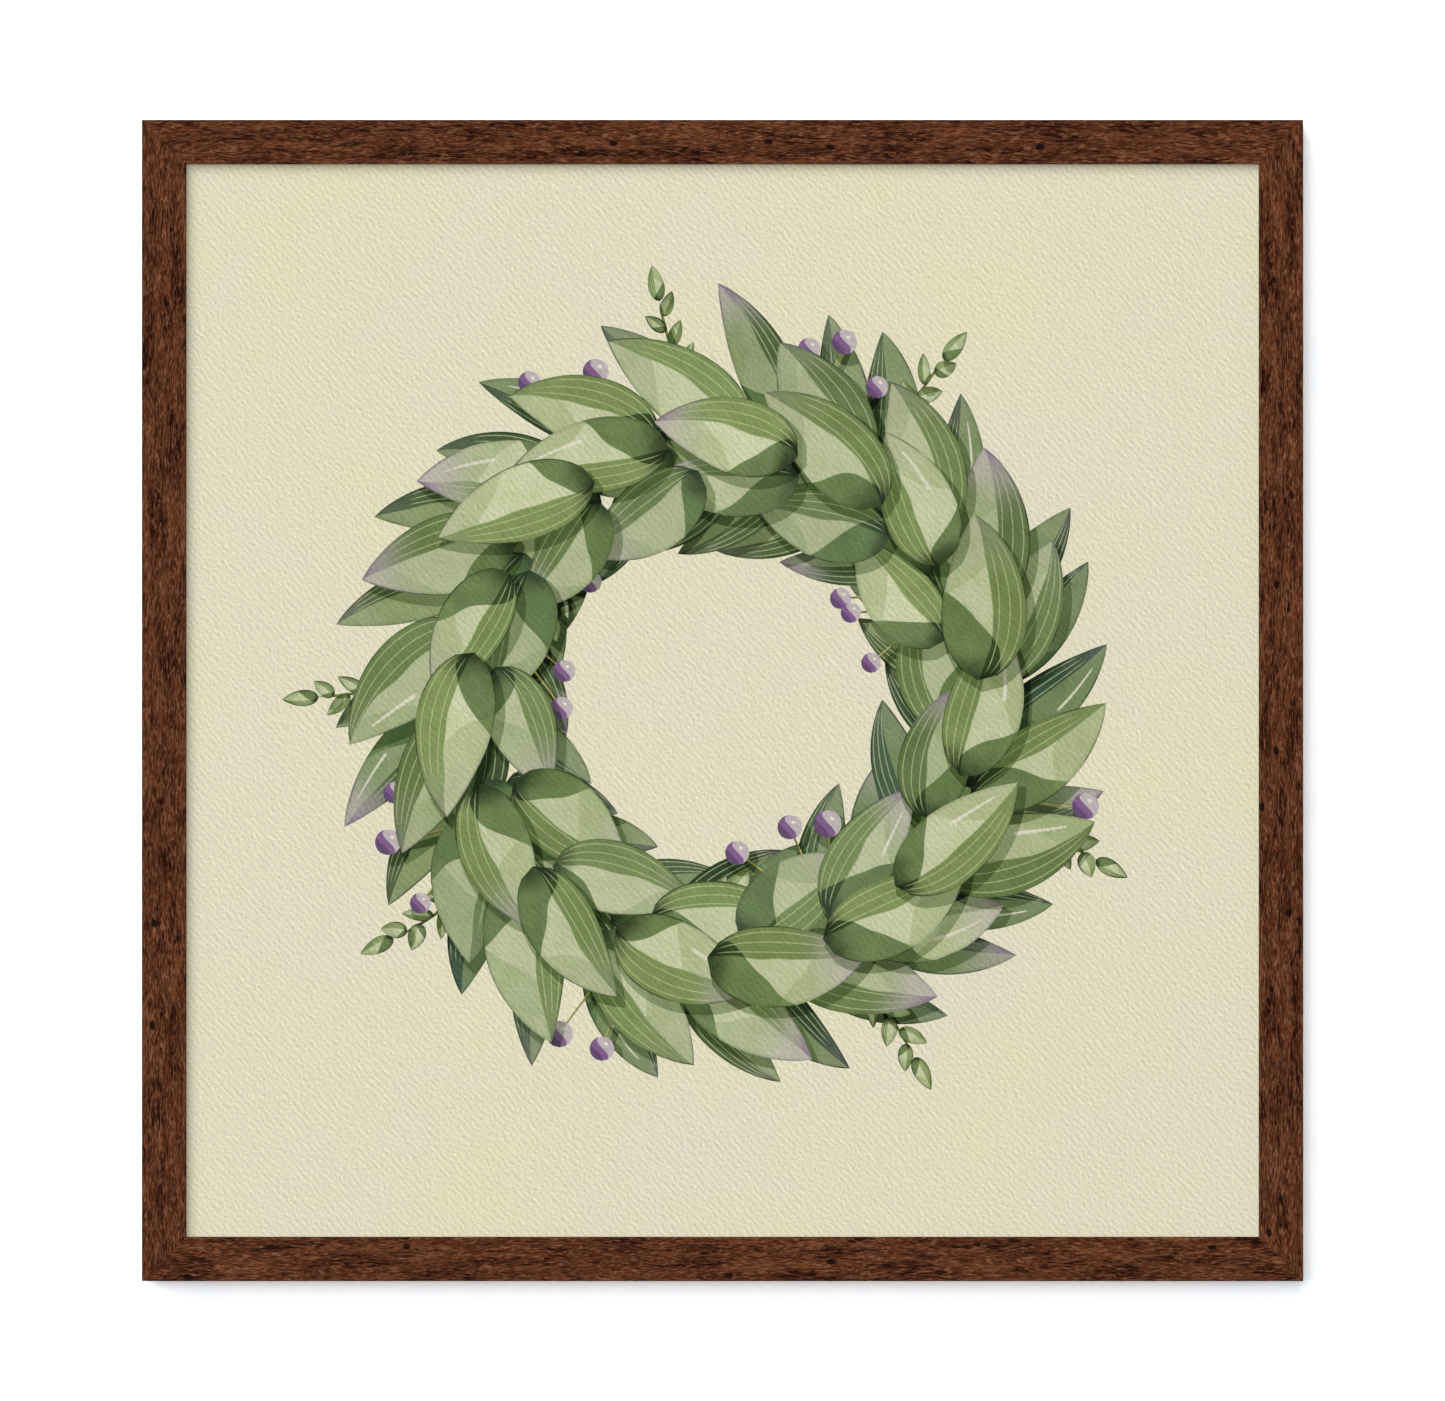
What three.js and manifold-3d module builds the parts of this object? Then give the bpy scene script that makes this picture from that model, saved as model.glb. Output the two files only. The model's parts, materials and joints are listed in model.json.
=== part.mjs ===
// A square framed art print, 538 mm across, that hangs on a wall from two hinged D-rings.
//
// Four mitred wooden rails make the frame. Their rebate holds a flat pack: clear glazing, the
// printed sheet, a mount board and a backing board, kept in by flexible steel points. Steel
// V-nails pull each mitre together from behind. Each side rail carries a strap hanger with a
// D-ring that swings on it, and two rubber bumpers keep the lower edge off the wall.
//
// Millimetres. +X is to the right seen from the front, -Y faces the viewer, +Z is up. y = 0 is
// the back of the rails. The origin is midway between the points where the two raised rings
// bear on their wall hooks.

import * as THREE from "three";
import { mergeVertices } from "three/addons/utils/BufferGeometryUtils.js";
import Module from "manifold-3d";

const wasm = await Module();
wasm.setup();

// ---- Driving dimensions -------------------------------------------------------------------

const SHEET_SIZE = 508; // glazing, print and boards: 20 in square
const SHEET_PLAY = 1; // between a sheet's edge and the rebate wall
const FACE_WIDTH = 20.5; // the rail seen from the front
const RAIL_DEPTH = 25; // front to back
const LIP_WIDTH = 6.5; // the part of the face that covers the sheets
const LIP_THICKNESS = 3.6;
const ARRIS_RADIUS = 0.4; // of the two long front edges
const MITRE_GAP = 0.15; // on each side of a mitre
const CUT_GAP = 0.3; // around what is driven into the wood
const FACE_GAP = 0.1; // between pieces that lie face to face

const GLAZING_THICKNESS = 1.2;
const PRINT_THICKNESS = 0.4;
const MOUNT_BOARD_THICKNESS = 3;
const BACKING_THICKNESS = 3;

const HOOK_BELOW_TOP = 90; // from the top edge of the frame down to the wall hooks
const HANGER_INSET = 8; // from the side of the frame to the middle of a hanger

// ---- Sizes that follow --------------------------------------------------------------------

const REBATE_SIZE = SHEET_SIZE + 2 * SHEET_PLAY;
const BACK_WIDTH = FACE_WIDTH - LIP_WIDTH; // the rail seen from behind
const HALF = REBATE_SIZE / 2 + BACK_WIDTH; // half the outer size of the frame
const FRAME_CENTRE_Z = HOOK_BELOW_TOP - HALF;
const SIDES = ["top", "left", "bottom", "right"]; // each a quarter turn after the one before
const CORNERS = ["top_right", "top_left", "bottom_left", "bottom_right"];

// ---- Finishes -----------------------------------------------------------------------------

const finish = (color, roughness, metalness = 0, opacity = 1) =>
  new THREE.MeshStandardMaterial({
    color,
    roughness,
    metalness,
    opacity,
    transparent: opacity < 1,
  });

const walnut = finish(0x563224, 0.55);
const clearAcrylic = finish(0xf4f8f8, 0.05, 0, 0.15);
const printedPaper = finish(0xdfd9bd, 0.9);
const whiteBoard = finish(0xe9e7e0, 0.85);
const hardboard = finish(0x9a7450, 0.8);
const springSteel = finish(0x8d9094, 0.35, 1);
const platedSteel = finish(0xc2c3c2, 0.28, 1);
const blackRubber = finish(0x1d1d1e, 0.75);

// ---- Solids -------------------------------------------------------------------------------

/** A closed geometry as a manifold-3d solid. */
function solidOf(geometry) {
  const bare = geometry.clone();
  bare.deleteAttribute("normal");
  bare.deleteAttribute("uv");
  const merged = mergeVertices(bare, 1e-4);
  return new wasm.Manifold(
    new wasm.Mesh({
      numProp: 3,
      vertProperties: merged.attributes.position.array,
      triVerts: new Uint32Array(merged.index.array),
    }),
  );
}

/** A manifold-3d solid as a geometry. */
function geometryOf(solid) {
  const made = solid.getMesh();
  const geometry = new THREE.BufferGeometry();
  geometry.setAttribute(
    "position",
    new THREE.BufferAttribute(made.vertProperties, 3),
  );
  geometry.setIndex(new THREE.BufferAttribute(made.triVerts, 1));
  return geometry;
}

/** body with every one of cutters taken out of it. */
function cut(body, cutters) {
  return geometryOf(
    cutters.reduce((left, cutter) => left.subtract(solidOf(cutter)), solidOf(body)),
  );
}

/** A flat outline in X and Z, as a plate from yFront to yBack. */
function plate(outline, yFront, yBack, curveSegments = 8) {
  const options = { depth: yBack - yFront, bevelEnabled: false, curveSegments };
  const geometry = new THREE.ExtrudeGeometry(outline, options);
  return geometry.rotateX(Math.PI / 2).translate(0, yBack, 0);
}

/** A box that spans the two corners given. */
function boxBetween(low, high) {
  const size = high.map((value, i) => value - low[i]);
  const middle = high.map((value, i) => (value + low[i]) / 2);
  return new THREE.BoxGeometry(...size).translate(...middle);
}

/** A solid of revolution about Y, from [radius, y] points that start and end on the axis. */
function turned(points, segments) {
  const profile = points.map(([radius, y]) => new THREE.Vector2(radius, y));
  return new THREE.LatheGeometry(profile, segments);
}

/** A named piece. */
function piece(name, geometry, material) {
  const mesh = new THREE.Mesh(geometry, material);
  mesh.name = name;
  return mesh;
}

// ---- Rails --------------------------------------------------------------------------------
// A rail is made as the top one, in a frame whose middle is the middle of the picture.

/** The rail's section: x is the distance in from the outer edge, y runs front to back. */
function railSection() {
  const front = -RAIL_DEPTH;
  const arris = ARRIS_RADIUS;
  const section = new THREE.Shape();
  section.moveTo(0, 0);
  section.lineTo(0, front + arris);
  section.absarc(arris, front + arris, arris, Math.PI, 1.5 * Math.PI, false);
  section.lineTo(FACE_WIDTH - arris, front);
  section.absarc(FACE_WIDTH - arris, front + arris, arris, 1.5 * Math.PI, 2 * Math.PI, false);
  section.lineTo(FACE_WIDTH, front + LIP_THICKNESS);
  section.lineTo(BACK_WIDTH, front + LIP_THICKNESS);
  section.lineTo(BACK_WIDTH, 0);
  section.closePath();
  return section;
}

/** The section drawn out along X, each end mitred at 45 degrees. */
function mitredBar() {
  const options = { depth: 1, steps: 1, bevelEnabled: false, curveSegments: 3 };
  const bar = new THREE.ExtrudeGeometry(railSection(), options);
  const position = bar.attributes.position;
  for (let i = 0; i < position.count; i++) {
    const inward = position.getX(i);
    const end = position.getZ(i) > 0.5 ? 1 : -1;
    const reach = HALF - inward - MITRE_GAP;
    position.setXYZ(i, end * reach, position.getY(i), HALF - inward);
  }
  return bar;
}

/** The rail with its slots for V-nails and points, and a pilot hole at x where one is given. */
function railGeometry(pilotX) {
  const cutters = [];
  for (const apex of V_NAIL_APEXES) {
    const slot = vNail(apex, CUT_GAP);
    cutters.push(slot, slot.clone().rotateY(-Math.PI / 2), slot.clone().rotateY(Math.PI / 2));
  }
  for (const x of POINT_PLACES) cutters.push(pointSlot().translate(x, 0, 0));
  if (pilotX !== undefined) cutters.push(pilotHole().translate(pilotX, 0, HALF - HANGER_INSET));
  return cut(mitredBar(), cutters);
}

// ---- V-nails ------------------------------------------------------------------------------

const V_NAIL_APEXES = [3.2, 8.2]; // from the outer edges in to the bend
const V_NAIL_LEG = 4.5;
const V_NAIL_THICKNESS = 0.6;
const V_NAIL_HEIGHT = 7;
const V_NAIL_SUNK = 0.3; // below the back of the rails

/** A V-nail at the top right corner, or the slot for it with a gap around it. */
function vNail(apex, gap = 0) {
  const near = apex - V_NAIL_THICKNESS / 2 - gap;
  const web = apex + V_NAIL_THICKNESS / 2 + gap;
  const far = apex + V_NAIL_LEG + gap;
  const corners = [
    [near, near],
    [near, far],
    [web, far],
    [web, web],
    [far, web],
    [far, near],
  ];
  // x and z run in from the corner. plate() maps an outline's y to z.
  const outline = new THREE.Shape(
    corners.map(([inX, inZ]) => new THREE.Vector2(HALF - inX, HALF - inZ)),
  );
  const back = gap > 0 ? 1 : -V_NAIL_SUNK;
  return plate(outline, -V_NAIL_SUNK - V_NAIL_HEIGHT - gap, back);
}

// ---- The flat pack in the rebate ----------------------------------------------------------

const LIP_BACK = -RAIL_DEPTH + LIP_THICKNESS;
const SHEETS = [
  ["glazing", GLAZING_THICKNESS, clearAcrylic],
  ["print_sheet", PRINT_THICKNESS, printedPaper],
  ["mount_board", MOUNT_BOARD_THICKNESS, whiteBoard],
  ["backing_board", BACKING_THICKNESS, hardboard],
];
const PACK_BACK = SHEETS.reduce((y, [, thickness]) => y + FACE_GAP + thickness, LIP_BACK);

/** The sheets, front to back, each a gap behind the one before. */
function flatPack() {
  const half = SHEET_SIZE / 2;
  let front = LIP_BACK;
  return SHEETS.map(([name, thickness, material]) => {
    front += FACE_GAP;
    const back = front + thickness;
    const geometry = boxBetween([-half, front, -half], [half, back, half]);
    front = back;
    return piece(name, geometry, material);
  });
}

// ---- Flexible points ----------------------------------------------------------------------

const POINT_PLACES = [-170, 0, 170]; // along a rail
const POINT_WIDTH = 9;
const POINT_THICKNESS = 0.6;
const POINT_DRIVEN = 6.5; // into the rebate wall
const POINT_SHOWN = 13.5; // over the backing board
const POINT_FRONT = PACK_BACK + CUT_GAP;

/** A point on the top rail: a spearhead end in the wood and a round end over the board. */
function flexPoint() {
  const wall = HALF - BACK_WIDTH;
  const half = POINT_WIDTH / 2;
  const outline = new THREE.Shape();
  outline.moveTo(0, wall + POINT_DRIVEN);
  outline.lineTo(-half, wall + POINT_DRIVEN - 3.5);
  outline.lineTo(-half, wall - POINT_SHOWN + half);
  outline.absarc(0, wall - POINT_SHOWN + half, half, Math.PI, 2 * Math.PI, false);
  outline.lineTo(half, wall + POINT_DRIVEN - 3.5);
  outline.closePath();
  return plate(outline, POINT_FRONT, POINT_FRONT + POINT_THICKNESS, 6);
}

/** The slot for a point in the rebate wall of the top rail. */
function pointSlot() {
  const wall = HALF - BACK_WIDTH;
  const half = POINT_WIDTH / 2 + CUT_GAP;
  return boxBetween(
    [-half, POINT_FRONT - CUT_GAP, wall - 1],
    [half, POINT_FRONT + POINT_THICKNESS + CUT_GAP, wall + POINT_DRIVEN + CUT_GAP],
  );
}

// ---- Hangers ------------------------------------------------------------------------------
// A hanger is made about the axis that its ring swings on, with the ring hanging down.

const WIRE_RADIUS = 1;
const RING_INNER_WIDTH = 9.5;
const RING_INNER_HEIGHT = 10; // from the hinge axis to the inside of the crown
const RING_CORNER_RADIUS = 1.5;
const HINGE_FROM_BACK = 3; // the hinge axis behind the back of the rails
const EYE_CLEARANCE = 0.35;
const STRAP_METAL = 0.8; // the strap is this metal folded double
const STRAP_WIDTH = 8;
const STRAP_LENGTH = 28; // from the hinge axis to the round end
const SCREW_DROP = 20; // from the hinge axis to the screw
const SCREW_HEAD_RADIUS = 3.25;
const SCREW_HEAD_HEIGHT = 2;
const SCREW_SHANK_RADIUS = 1.4;
const SCREW_LENGTH = 12;
const STRAP_FRONT = FACE_GAP;
const STRAP_BACK = STRAP_FRONT + 2 * STRAP_METAL;
const HINGE_Z = -RING_INNER_HEIGHT; // a raised ring bears at z = 0

/** The closed centre line of the ring, a U with its ends joined by the hinge bar. */
function ringPath() {
  const half = RING_INNER_WIDTH / 2 + WIRE_RADIUS;
  const corner = RING_CORNER_RADIUS;
  const crownCentre = -(RING_INNER_HEIGHT + WIRE_RADIUS - half);
  const outline = new THREE.Shape();
  outline.moveTo(half - corner, 0);
  outline.lineTo(-half + corner, 0);
  outline.absarc(-half + corner, -corner, corner, Math.PI / 2, Math.PI, false);
  outline.lineTo(-half, crownCentre);
  outline.absarc(0, crownCentre, half, Math.PI, 2 * Math.PI, false);
  outline.lineTo(half, -corner);
  outline.absarc(half - corner, -corner, corner, 0, Math.PI / 2, false);
  return outline;
}

/** A closed loop of round wire whose centre line is a flat outline in X and Z. */
function wireLoop(outline, radius, curveSegments, sides) {
  const line = outline.getPoints(curveSegments);
  const points = line.filter((p, i) => i === 0 || p.distanceTo(line[i - 1]) > 1e-6);
  if (points[0].distanceTo(points.at(-1)) < 1e-6) points.pop();
  const count = points.length;
  const vertices = [];
  const faces = [];
  points.forEach((here, i) => {
    const before = points[(i + count - 1) % count];
    const after = points[(i + 1) % count];
    const arriving = here.clone().sub(before).normalize();
    const leaving = after.clone().sub(here).normalize();
    const along = arriving.clone().add(leaving).normalize();
    const across = new THREE.Vector2(along.y, -along.x);
    const stretch = 1 / along.dot(leaving); // keeps the wire round through a bend
    for (let k = 0; k < sides; k++) {
      const angle = (2 * Math.PI * k) / sides;
      const out = radius * Math.cos(angle) * stretch;
      vertices.push(here.x + across.x * out, radius * Math.sin(angle), here.y + across.y * out);
      const a = i * sides + k;
      const b = i * sides + ((k + 1) % sides);
      const c = ((i + 1) % count) * sides + k;
      const d = ((i + 1) % count) * sides + ((k + 1) % sides);
      faces.push(a, b, c, b, d, c);
    }
  });
  const geometry = new THREE.BufferGeometry();
  geometry.setAttribute("position", new THREE.Float32BufferAttribute(vertices, 3));
  geometry.setIndex(faces);
  return geometry;
}

/** The strap: flat metal folded round the hinge bar, with a round end and a screw hole. */
function hangerStrap() {
  const inner = WIRE_RADIUS + EYE_CLEARANCE;
  const outer = inner + STRAP_METAL;
  const front = STRAP_FRONT - HINGE_FROM_BACK;
  const back = STRAP_BACK - HINGE_FROM_BACK;
  // The side outline: x runs down from the hinge, y towards the wall.
  const meets = Math.asin(back / outer);
  const leaves = (280 * Math.PI) / 180;
  const side = new THREE.Shape();
  side.moveTo(STRAP_LENGTH, front);
  side.lineTo(STRAP_LENGTH, back);
  side.absarc(0, 0, outer, meets, leaves, false);
  side.lineTo(outer, front);
  side.closePath();
  side.holes.push(new THREE.Path().absarc(0, 0, inner, 0, 2 * Math.PI, true));
  const bar = new THREE.ExtrudeGeometry(side, {
    depth: STRAP_WIDTH,
    bevelEnabled: false,
    curveSegments: 12,
  });
  bar.translate(0, 0, -STRAP_WIDTH / 2).rotateY(Math.PI / 2);

  const half = STRAP_WIDTH / 2;
  const plan = new THREE.Shape();
  plan.moveTo(-half, 2 * outer);
  plan.lineTo(-half, -STRAP_LENGTH + half);
  plan.absarc(0, -STRAP_LENGTH + half, half, Math.PI, 2 * Math.PI, false);
  plan.lineTo(half, 2 * outer);
  plan.closePath();
  const trimmed = solidOf(bar).intersect(solidOf(plate(plan, front - 1, outer + 1)));
  const hole = new THREE.CylinderGeometry(
    SCREW_SHANK_RADIUS + CUT_GAP,
    SCREW_SHANK_RADIUS + CUT_GAP,
    10,
    16,
  ).translate(0, 0, -SCREW_DROP);
  return geometryOf(trimmed.subtract(solidOf(hole)));
}

/** A pan-head screw with a cross recess, y = 0 under its head and its tip towards -Y. */
function hangerScrew() {
  const head = SCREW_HEAD_RADIUS;
  const tall = SCREW_HEAD_HEIGHT;
  const shank = SCREW_SHANK_RADIUS;
  const body = turned(
    [
      [0, -SCREW_LENGTH],
      [shank, -SCREW_LENGTH + 3],
      [shank, 0],
      [head, 0],
      [head, 0.45 * tall],
      [0.88 * head, 0.78 * tall],
      [0.6 * head, 0.96 * tall],
      [0, tall],
    ],
    20,
  );
  const slotLong = 0.62 * head;
  const slotHalf = 0.45;
  const floor = 0.45 * tall;
  const slots = [
    boxBetween([-slotLong, floor, -slotHalf], [slotLong, tall + 1, slotHalf]),
    boxBetween([-slotHalf, floor, -slotLong], [slotHalf, tall + 1, slotLong]),
  ];
  return cut(body, slots);
}

/** The hole for a hanger's screw, from behind the rail inwards. */
function pilotHole() {
  const radius = SCREW_SHANK_RADIUS + CUT_GAP;
  const deep = SCREW_LENGTH - STRAP_BACK + CUT_GAP;
  return new THREE.CylinderGeometry(radius, radius, deep + 1, 16).translate(0, (1 - deep) / 2, 0);
}

/** One hanger on the side rail at x: strap, screw and ring. */
function hanger(side, x) {
  const group = new THREE.Group();
  group.position.set(x, HINGE_FROM_BACK, HINGE_Z);
  group.add(piece(`hanger_strap_${side}`, hangerStrap(), platedSteel));
  group.add(
    piece(`hanger_ring_${side}`, wireLoop(ringPath(), WIRE_RADIUS, 6, 10), platedSteel),
  );
  const screw = piece(`hanger_screw_${side}`, hangerScrew(), platedSteel);
  screw.position.set(0, STRAP_BACK + FACE_GAP - HINGE_FROM_BACK, -SCREW_DROP);
  group.add(screw);
  return group;
}

// ---- Bumpers ------------------------------------------------------------------------------

const BUMPER_RADIUS = 5;
const BUMPER_HEIGHT = 3;
const BUMPER_FROM_SIDE = 30;

/** A domed rubber bumper stuck to the back of the bottom rail. */
function bumper() {
  return turned(
    [
      [0, 0],
      [BUMPER_RADIUS, 0],
      [BUMPER_RADIUS, 0.5 * BUMPER_HEIGHT],
      [0.9 * BUMPER_RADIUS, 0.8 * BUMPER_HEIGHT],
      [0.65 * BUMPER_RADIUS, BUMPER_HEIGHT],
      [0, BUMPER_HEIGHT],
    ],
    20,
  );
}

// ---- Assembly -----------------------------------------------------------------------------

const framedPrint = new THREE.Group();
const picture = new THREE.Group(); // its middle is the middle of the frame
picture.position.z = FRAME_CENTRE_Z;
framedPrint.add(picture);

// A hanger's screw, seen from its own side rail laid out as the top one.
const screwFromMiddle = HINGE_Z - SCREW_DROP - FRAME_CENTRE_Z;
const pilotPlaces = { left: screwFromMiddle, right: -screwFromMiddle };

SIDES.forEach((side, turn) => {
  const quarter = new THREE.Group();
  quarter.rotation.y = (-turn * Math.PI) / 2;
  quarter.add(piece(`rail_${side}`, railGeometry(pilotPlaces[side]), walnut));
  POINT_PLACES.forEach((x, i) => {
    const point = piece(`flex_point_${side}_${i + 1}`, flexPoint(), springSteel);
    point.position.x = x;
    quarter.add(point);
  });
  V_NAIL_APEXES.forEach((apex, i) => {
    const place = i === 0 ? "outer" : "inner";
    quarter.add(piece(`v_nail_${CORNERS[turn]}_${place}`, vNail(apex), springSteel));
  });
  picture.add(quarter);
});

picture.add(...flatPack());

for (const [side, sign] of [
  ["left", -1],
  ["right", 1],
]) {
  framedPrint.add(hanger(side, sign * (HALF - HANGER_INSET)));
  const stop = piece(`bumper_${side}`, bumper(), blackRubber);
  stop.position.set(sign * (HALF - BUMPER_FROM_SIDE), FACE_GAP, -HALF + BACK_WIDTH / 2);
  picture.add(stop);
}

export default framedPrint;
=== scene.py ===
"""The looks of a square framed art print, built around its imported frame.

The scene is in metres. +X is to the right seen from the front, -Y faces the viewer and +Z is up.
Sizes of pieces are in millimetres, as their names or docstrings say, and MM turns them into metres.
"""

from __future__ import annotations

import contextlib
import functools
import json
import logging
import math
import random
from dataclasses import dataclass, field, replace
from enum import Enum
from typing import Any, Iterator, Mapping, Sequence

import bmesh
import bpy
import numpy as np
from mathutils import Matrix, Vector
from mathutils.geometry import delaunay_2d_cdt

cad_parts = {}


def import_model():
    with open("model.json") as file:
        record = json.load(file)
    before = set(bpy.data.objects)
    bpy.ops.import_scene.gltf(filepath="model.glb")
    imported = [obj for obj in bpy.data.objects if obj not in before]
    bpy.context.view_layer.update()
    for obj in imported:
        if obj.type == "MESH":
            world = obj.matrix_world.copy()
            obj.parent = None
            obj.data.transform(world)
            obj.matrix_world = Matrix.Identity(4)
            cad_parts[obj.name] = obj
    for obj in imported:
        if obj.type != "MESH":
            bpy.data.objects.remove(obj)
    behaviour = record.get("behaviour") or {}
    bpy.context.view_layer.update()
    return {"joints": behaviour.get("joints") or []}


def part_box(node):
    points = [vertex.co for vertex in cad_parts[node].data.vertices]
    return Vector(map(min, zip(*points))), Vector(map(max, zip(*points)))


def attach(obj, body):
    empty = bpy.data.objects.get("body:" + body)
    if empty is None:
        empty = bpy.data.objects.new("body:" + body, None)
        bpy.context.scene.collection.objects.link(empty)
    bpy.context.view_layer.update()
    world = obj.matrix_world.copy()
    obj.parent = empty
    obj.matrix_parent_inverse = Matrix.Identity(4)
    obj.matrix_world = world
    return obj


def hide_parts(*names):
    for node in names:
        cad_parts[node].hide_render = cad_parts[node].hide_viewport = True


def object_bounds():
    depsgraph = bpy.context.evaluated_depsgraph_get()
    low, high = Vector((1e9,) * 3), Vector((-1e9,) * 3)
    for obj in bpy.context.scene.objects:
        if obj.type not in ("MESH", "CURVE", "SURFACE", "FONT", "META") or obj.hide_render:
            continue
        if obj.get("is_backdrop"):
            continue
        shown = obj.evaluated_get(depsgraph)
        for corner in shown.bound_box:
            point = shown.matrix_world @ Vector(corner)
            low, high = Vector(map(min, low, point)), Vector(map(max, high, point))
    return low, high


LOG = logging.getLogger("framed_print")
MM = 0.001
MERGE = 1e-7  # points closer than this are one
Point = tuple[float, float, float]
Pair = tuple[float, float]
Colour = tuple[float, float, float, float]


# ---- Shader and geometry trees ------------------------------------------------------------


def srgb(*channels: int) -> Colour:
    """Turns a display colour into the linear one that shaders take.

    Args:
        channels: Red, green and blue, from 0 to 255.

    Returns:
        The linear colour with its alpha.
    """
    shares = [channel / 255 for channel in channels]
    return (*(c / 12.92 if c <= 0.04045 else ((c + 0.055) / 1.055) ** 2.4 for c in shares), 1.0)


class Value:
    """A node's output, which Python's operators combine through Math nodes."""

    def __init__(self, tree: Tree, socket: bpy.types.NodeSocket | None) -> None:
        """Wraps a socket of a tree."""
        self.tree = tree
        self.socket = socket

    def __getitem__(self, name: str | int) -> Value:
        """Another output of the same node."""
        return Value(self.tree, self.socket.node.outputs[name])

    def maths(self, operation: str, *others: Value | float) -> Value:
        """This value and others through one Math node."""
        return self.tree.add("ShaderNodeMath", dict(enumerate((self, *others))), operation=operation)

    def __add__(self, other: Value | float) -> Value:
        """This plus other."""
        return self.maths("ADD", other)

    __radd__ = __add__

    def __mul__(self, other: Value | float) -> Value:
        """This times other."""
        return self.maths("MULTIPLY", other)

    __rmul__ = __mul__

    def __sub__(self, other: Value | float) -> Value:
        """This less other."""
        return self.maths("SUBTRACT", other)

    def __rsub__(self, other: float) -> Value:
        """Other less this."""
        return self.tree.add("ShaderNodeMath", {0: other, 1: self}, operation="SUBTRACT")

    def __truediv__(self, other: Value | float) -> Value:
        """This over other."""
        return self.maths("DIVIDE", other)

    def __pow__(self, other: Value | float) -> Value:
        """This to the power of other."""
        return self.maths("POWER", other)

    def __abs__(self) -> Value:
        """This without its sign."""
        return self.maths("ABSOLUTE")

    def __gt__(self, other: Value | float) -> Value:
        """1 where this is more than other, and 0 elsewhere."""
        return self.maths("GREATER_THAN", other)

    def fraction(self) -> Value:
        """What is left of this over a whole number."""
        return self.maths("FRACT")

    def ramp(self, low: float, high: float) -> Value:
        """A smooth step from 0 at low to 1 at high."""
        inputs = {"Value": self, "From Min": low, "From Max": high}
        return self.tree.add("ShaderNodeMapRange", inputs, interpolation_type="SMOOTHSTEP")


class Tree:
    """A node tree under construction."""

    def __init__(self, tree: bpy.types.NodeTree) -> None:
        """Wraps Blender's own tree."""
        self.tree = tree

    def add(self, kind: str, inputs: Mapping[str | int, Any] | None = None, **settings: Any) -> Value:
        """Adds a node.

        Args:
            kind: The node's type.
            inputs: What each input holds, by name or number: a Value to link, or a constant.
            settings: The node's properties, which are set before its inputs.

        Returns:
            Its first output in use.
        """
        node = self.tree.nodes.new(kind)
        for name, setting in settings.items():
            setattr(node, name, setting)
        for name, value in (inputs or {}).items():
            if isinstance(value, Value):
                self.tree.links.new(value.socket, node.inputs[name])
            else:
                node.inputs[name].default_value = value
        shown = [output for output in node.outputs if output.enabled]
        return Value(self, shown[0]) if shown else Value(self, None)

    def blend(self, share: Value | float, first: Any, second: Any, mode: str = "MIX") -> Value:
        """Two colours, the second over the first by share."""
        inputs, settings = {0: share, 6: first, 7: second}, {"data_type": "RGBA", "clamp_factor": True}
        return self.add("ShaderNodeMix", inputs, blend_type=mode, **settings)[2]

    def washed(self, colour: Any, *washes: tuple[Value | float, Any]) -> Value:
        """A colour with others laid over it in order, each given as its share and itself."""
        return functools.reduce(lambda under, wash: self.blend(wash[0], under, wash[1]), washes, colour)

    def scaled(self, vector: Value, scale: Point | Value, shift: Point = (0, 0, 0)) -> Value:
        """A vector times scale, plus shift."""
        inputs = {0: vector, 1: scale, 2: shift}
        return self.add("ShaderNodeVectorMath", inputs, operation="MULTIPLY_ADD")

    def noise(self, place: Value, scale: Point | float, detail: float = 2.0, roughness: float = 0.5,
              distortion: float = 0.0, shift: Point = (0, 0, 0)) -> Value:
        """Smooth noise.

        Args:
            place: Where it is read.
            scale: How many features it has to a unit, along all axes or each.
            detail: How many finer layers it has.
            roughness: How strong they are.
            distortion: How much it curls.
            shift: What keeps it apart from other noise at the same place.

        Returns:
            Its height, about 0.5 on average.
        """
        axes = (scale,) * 3 if isinstance(scale, float) else scale
        inputs = {"Vector": self.scaled(place, axes, shift), "Scale": 1.0, "Detail": detail}
        inputs |= {"Roughness": roughness, "Distortion": distortion}
        return self.add("ShaderNodeTexNoise", inputs)

    def vector(self, *parts: Value | float) -> Value:
        """The vector of up to three numbers."""
        return self.add("ShaderNodeCombineXYZ", dict(enumerate(parts)))

    def parts(self, vector: Value) -> tuple[Value, Value, Value]:
        """The three numbers of a vector."""
        split = self.add("ShaderNodeSeparateXYZ", {0: vector})
        return split[0], split[1], split[2]

    def attribute(self, name: str) -> Value:
        """A mesh attribute's vector."""
        return self.add("ShaderNodeAttribute", attribute_name=name)["Vector"]

    def place(self) -> Value:
        """The point on the piece, in millimetres."""
        return self.scaled(self.add("ShaderNodeTexCoord")["Object"], (1000, 1000, 1000))


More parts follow.
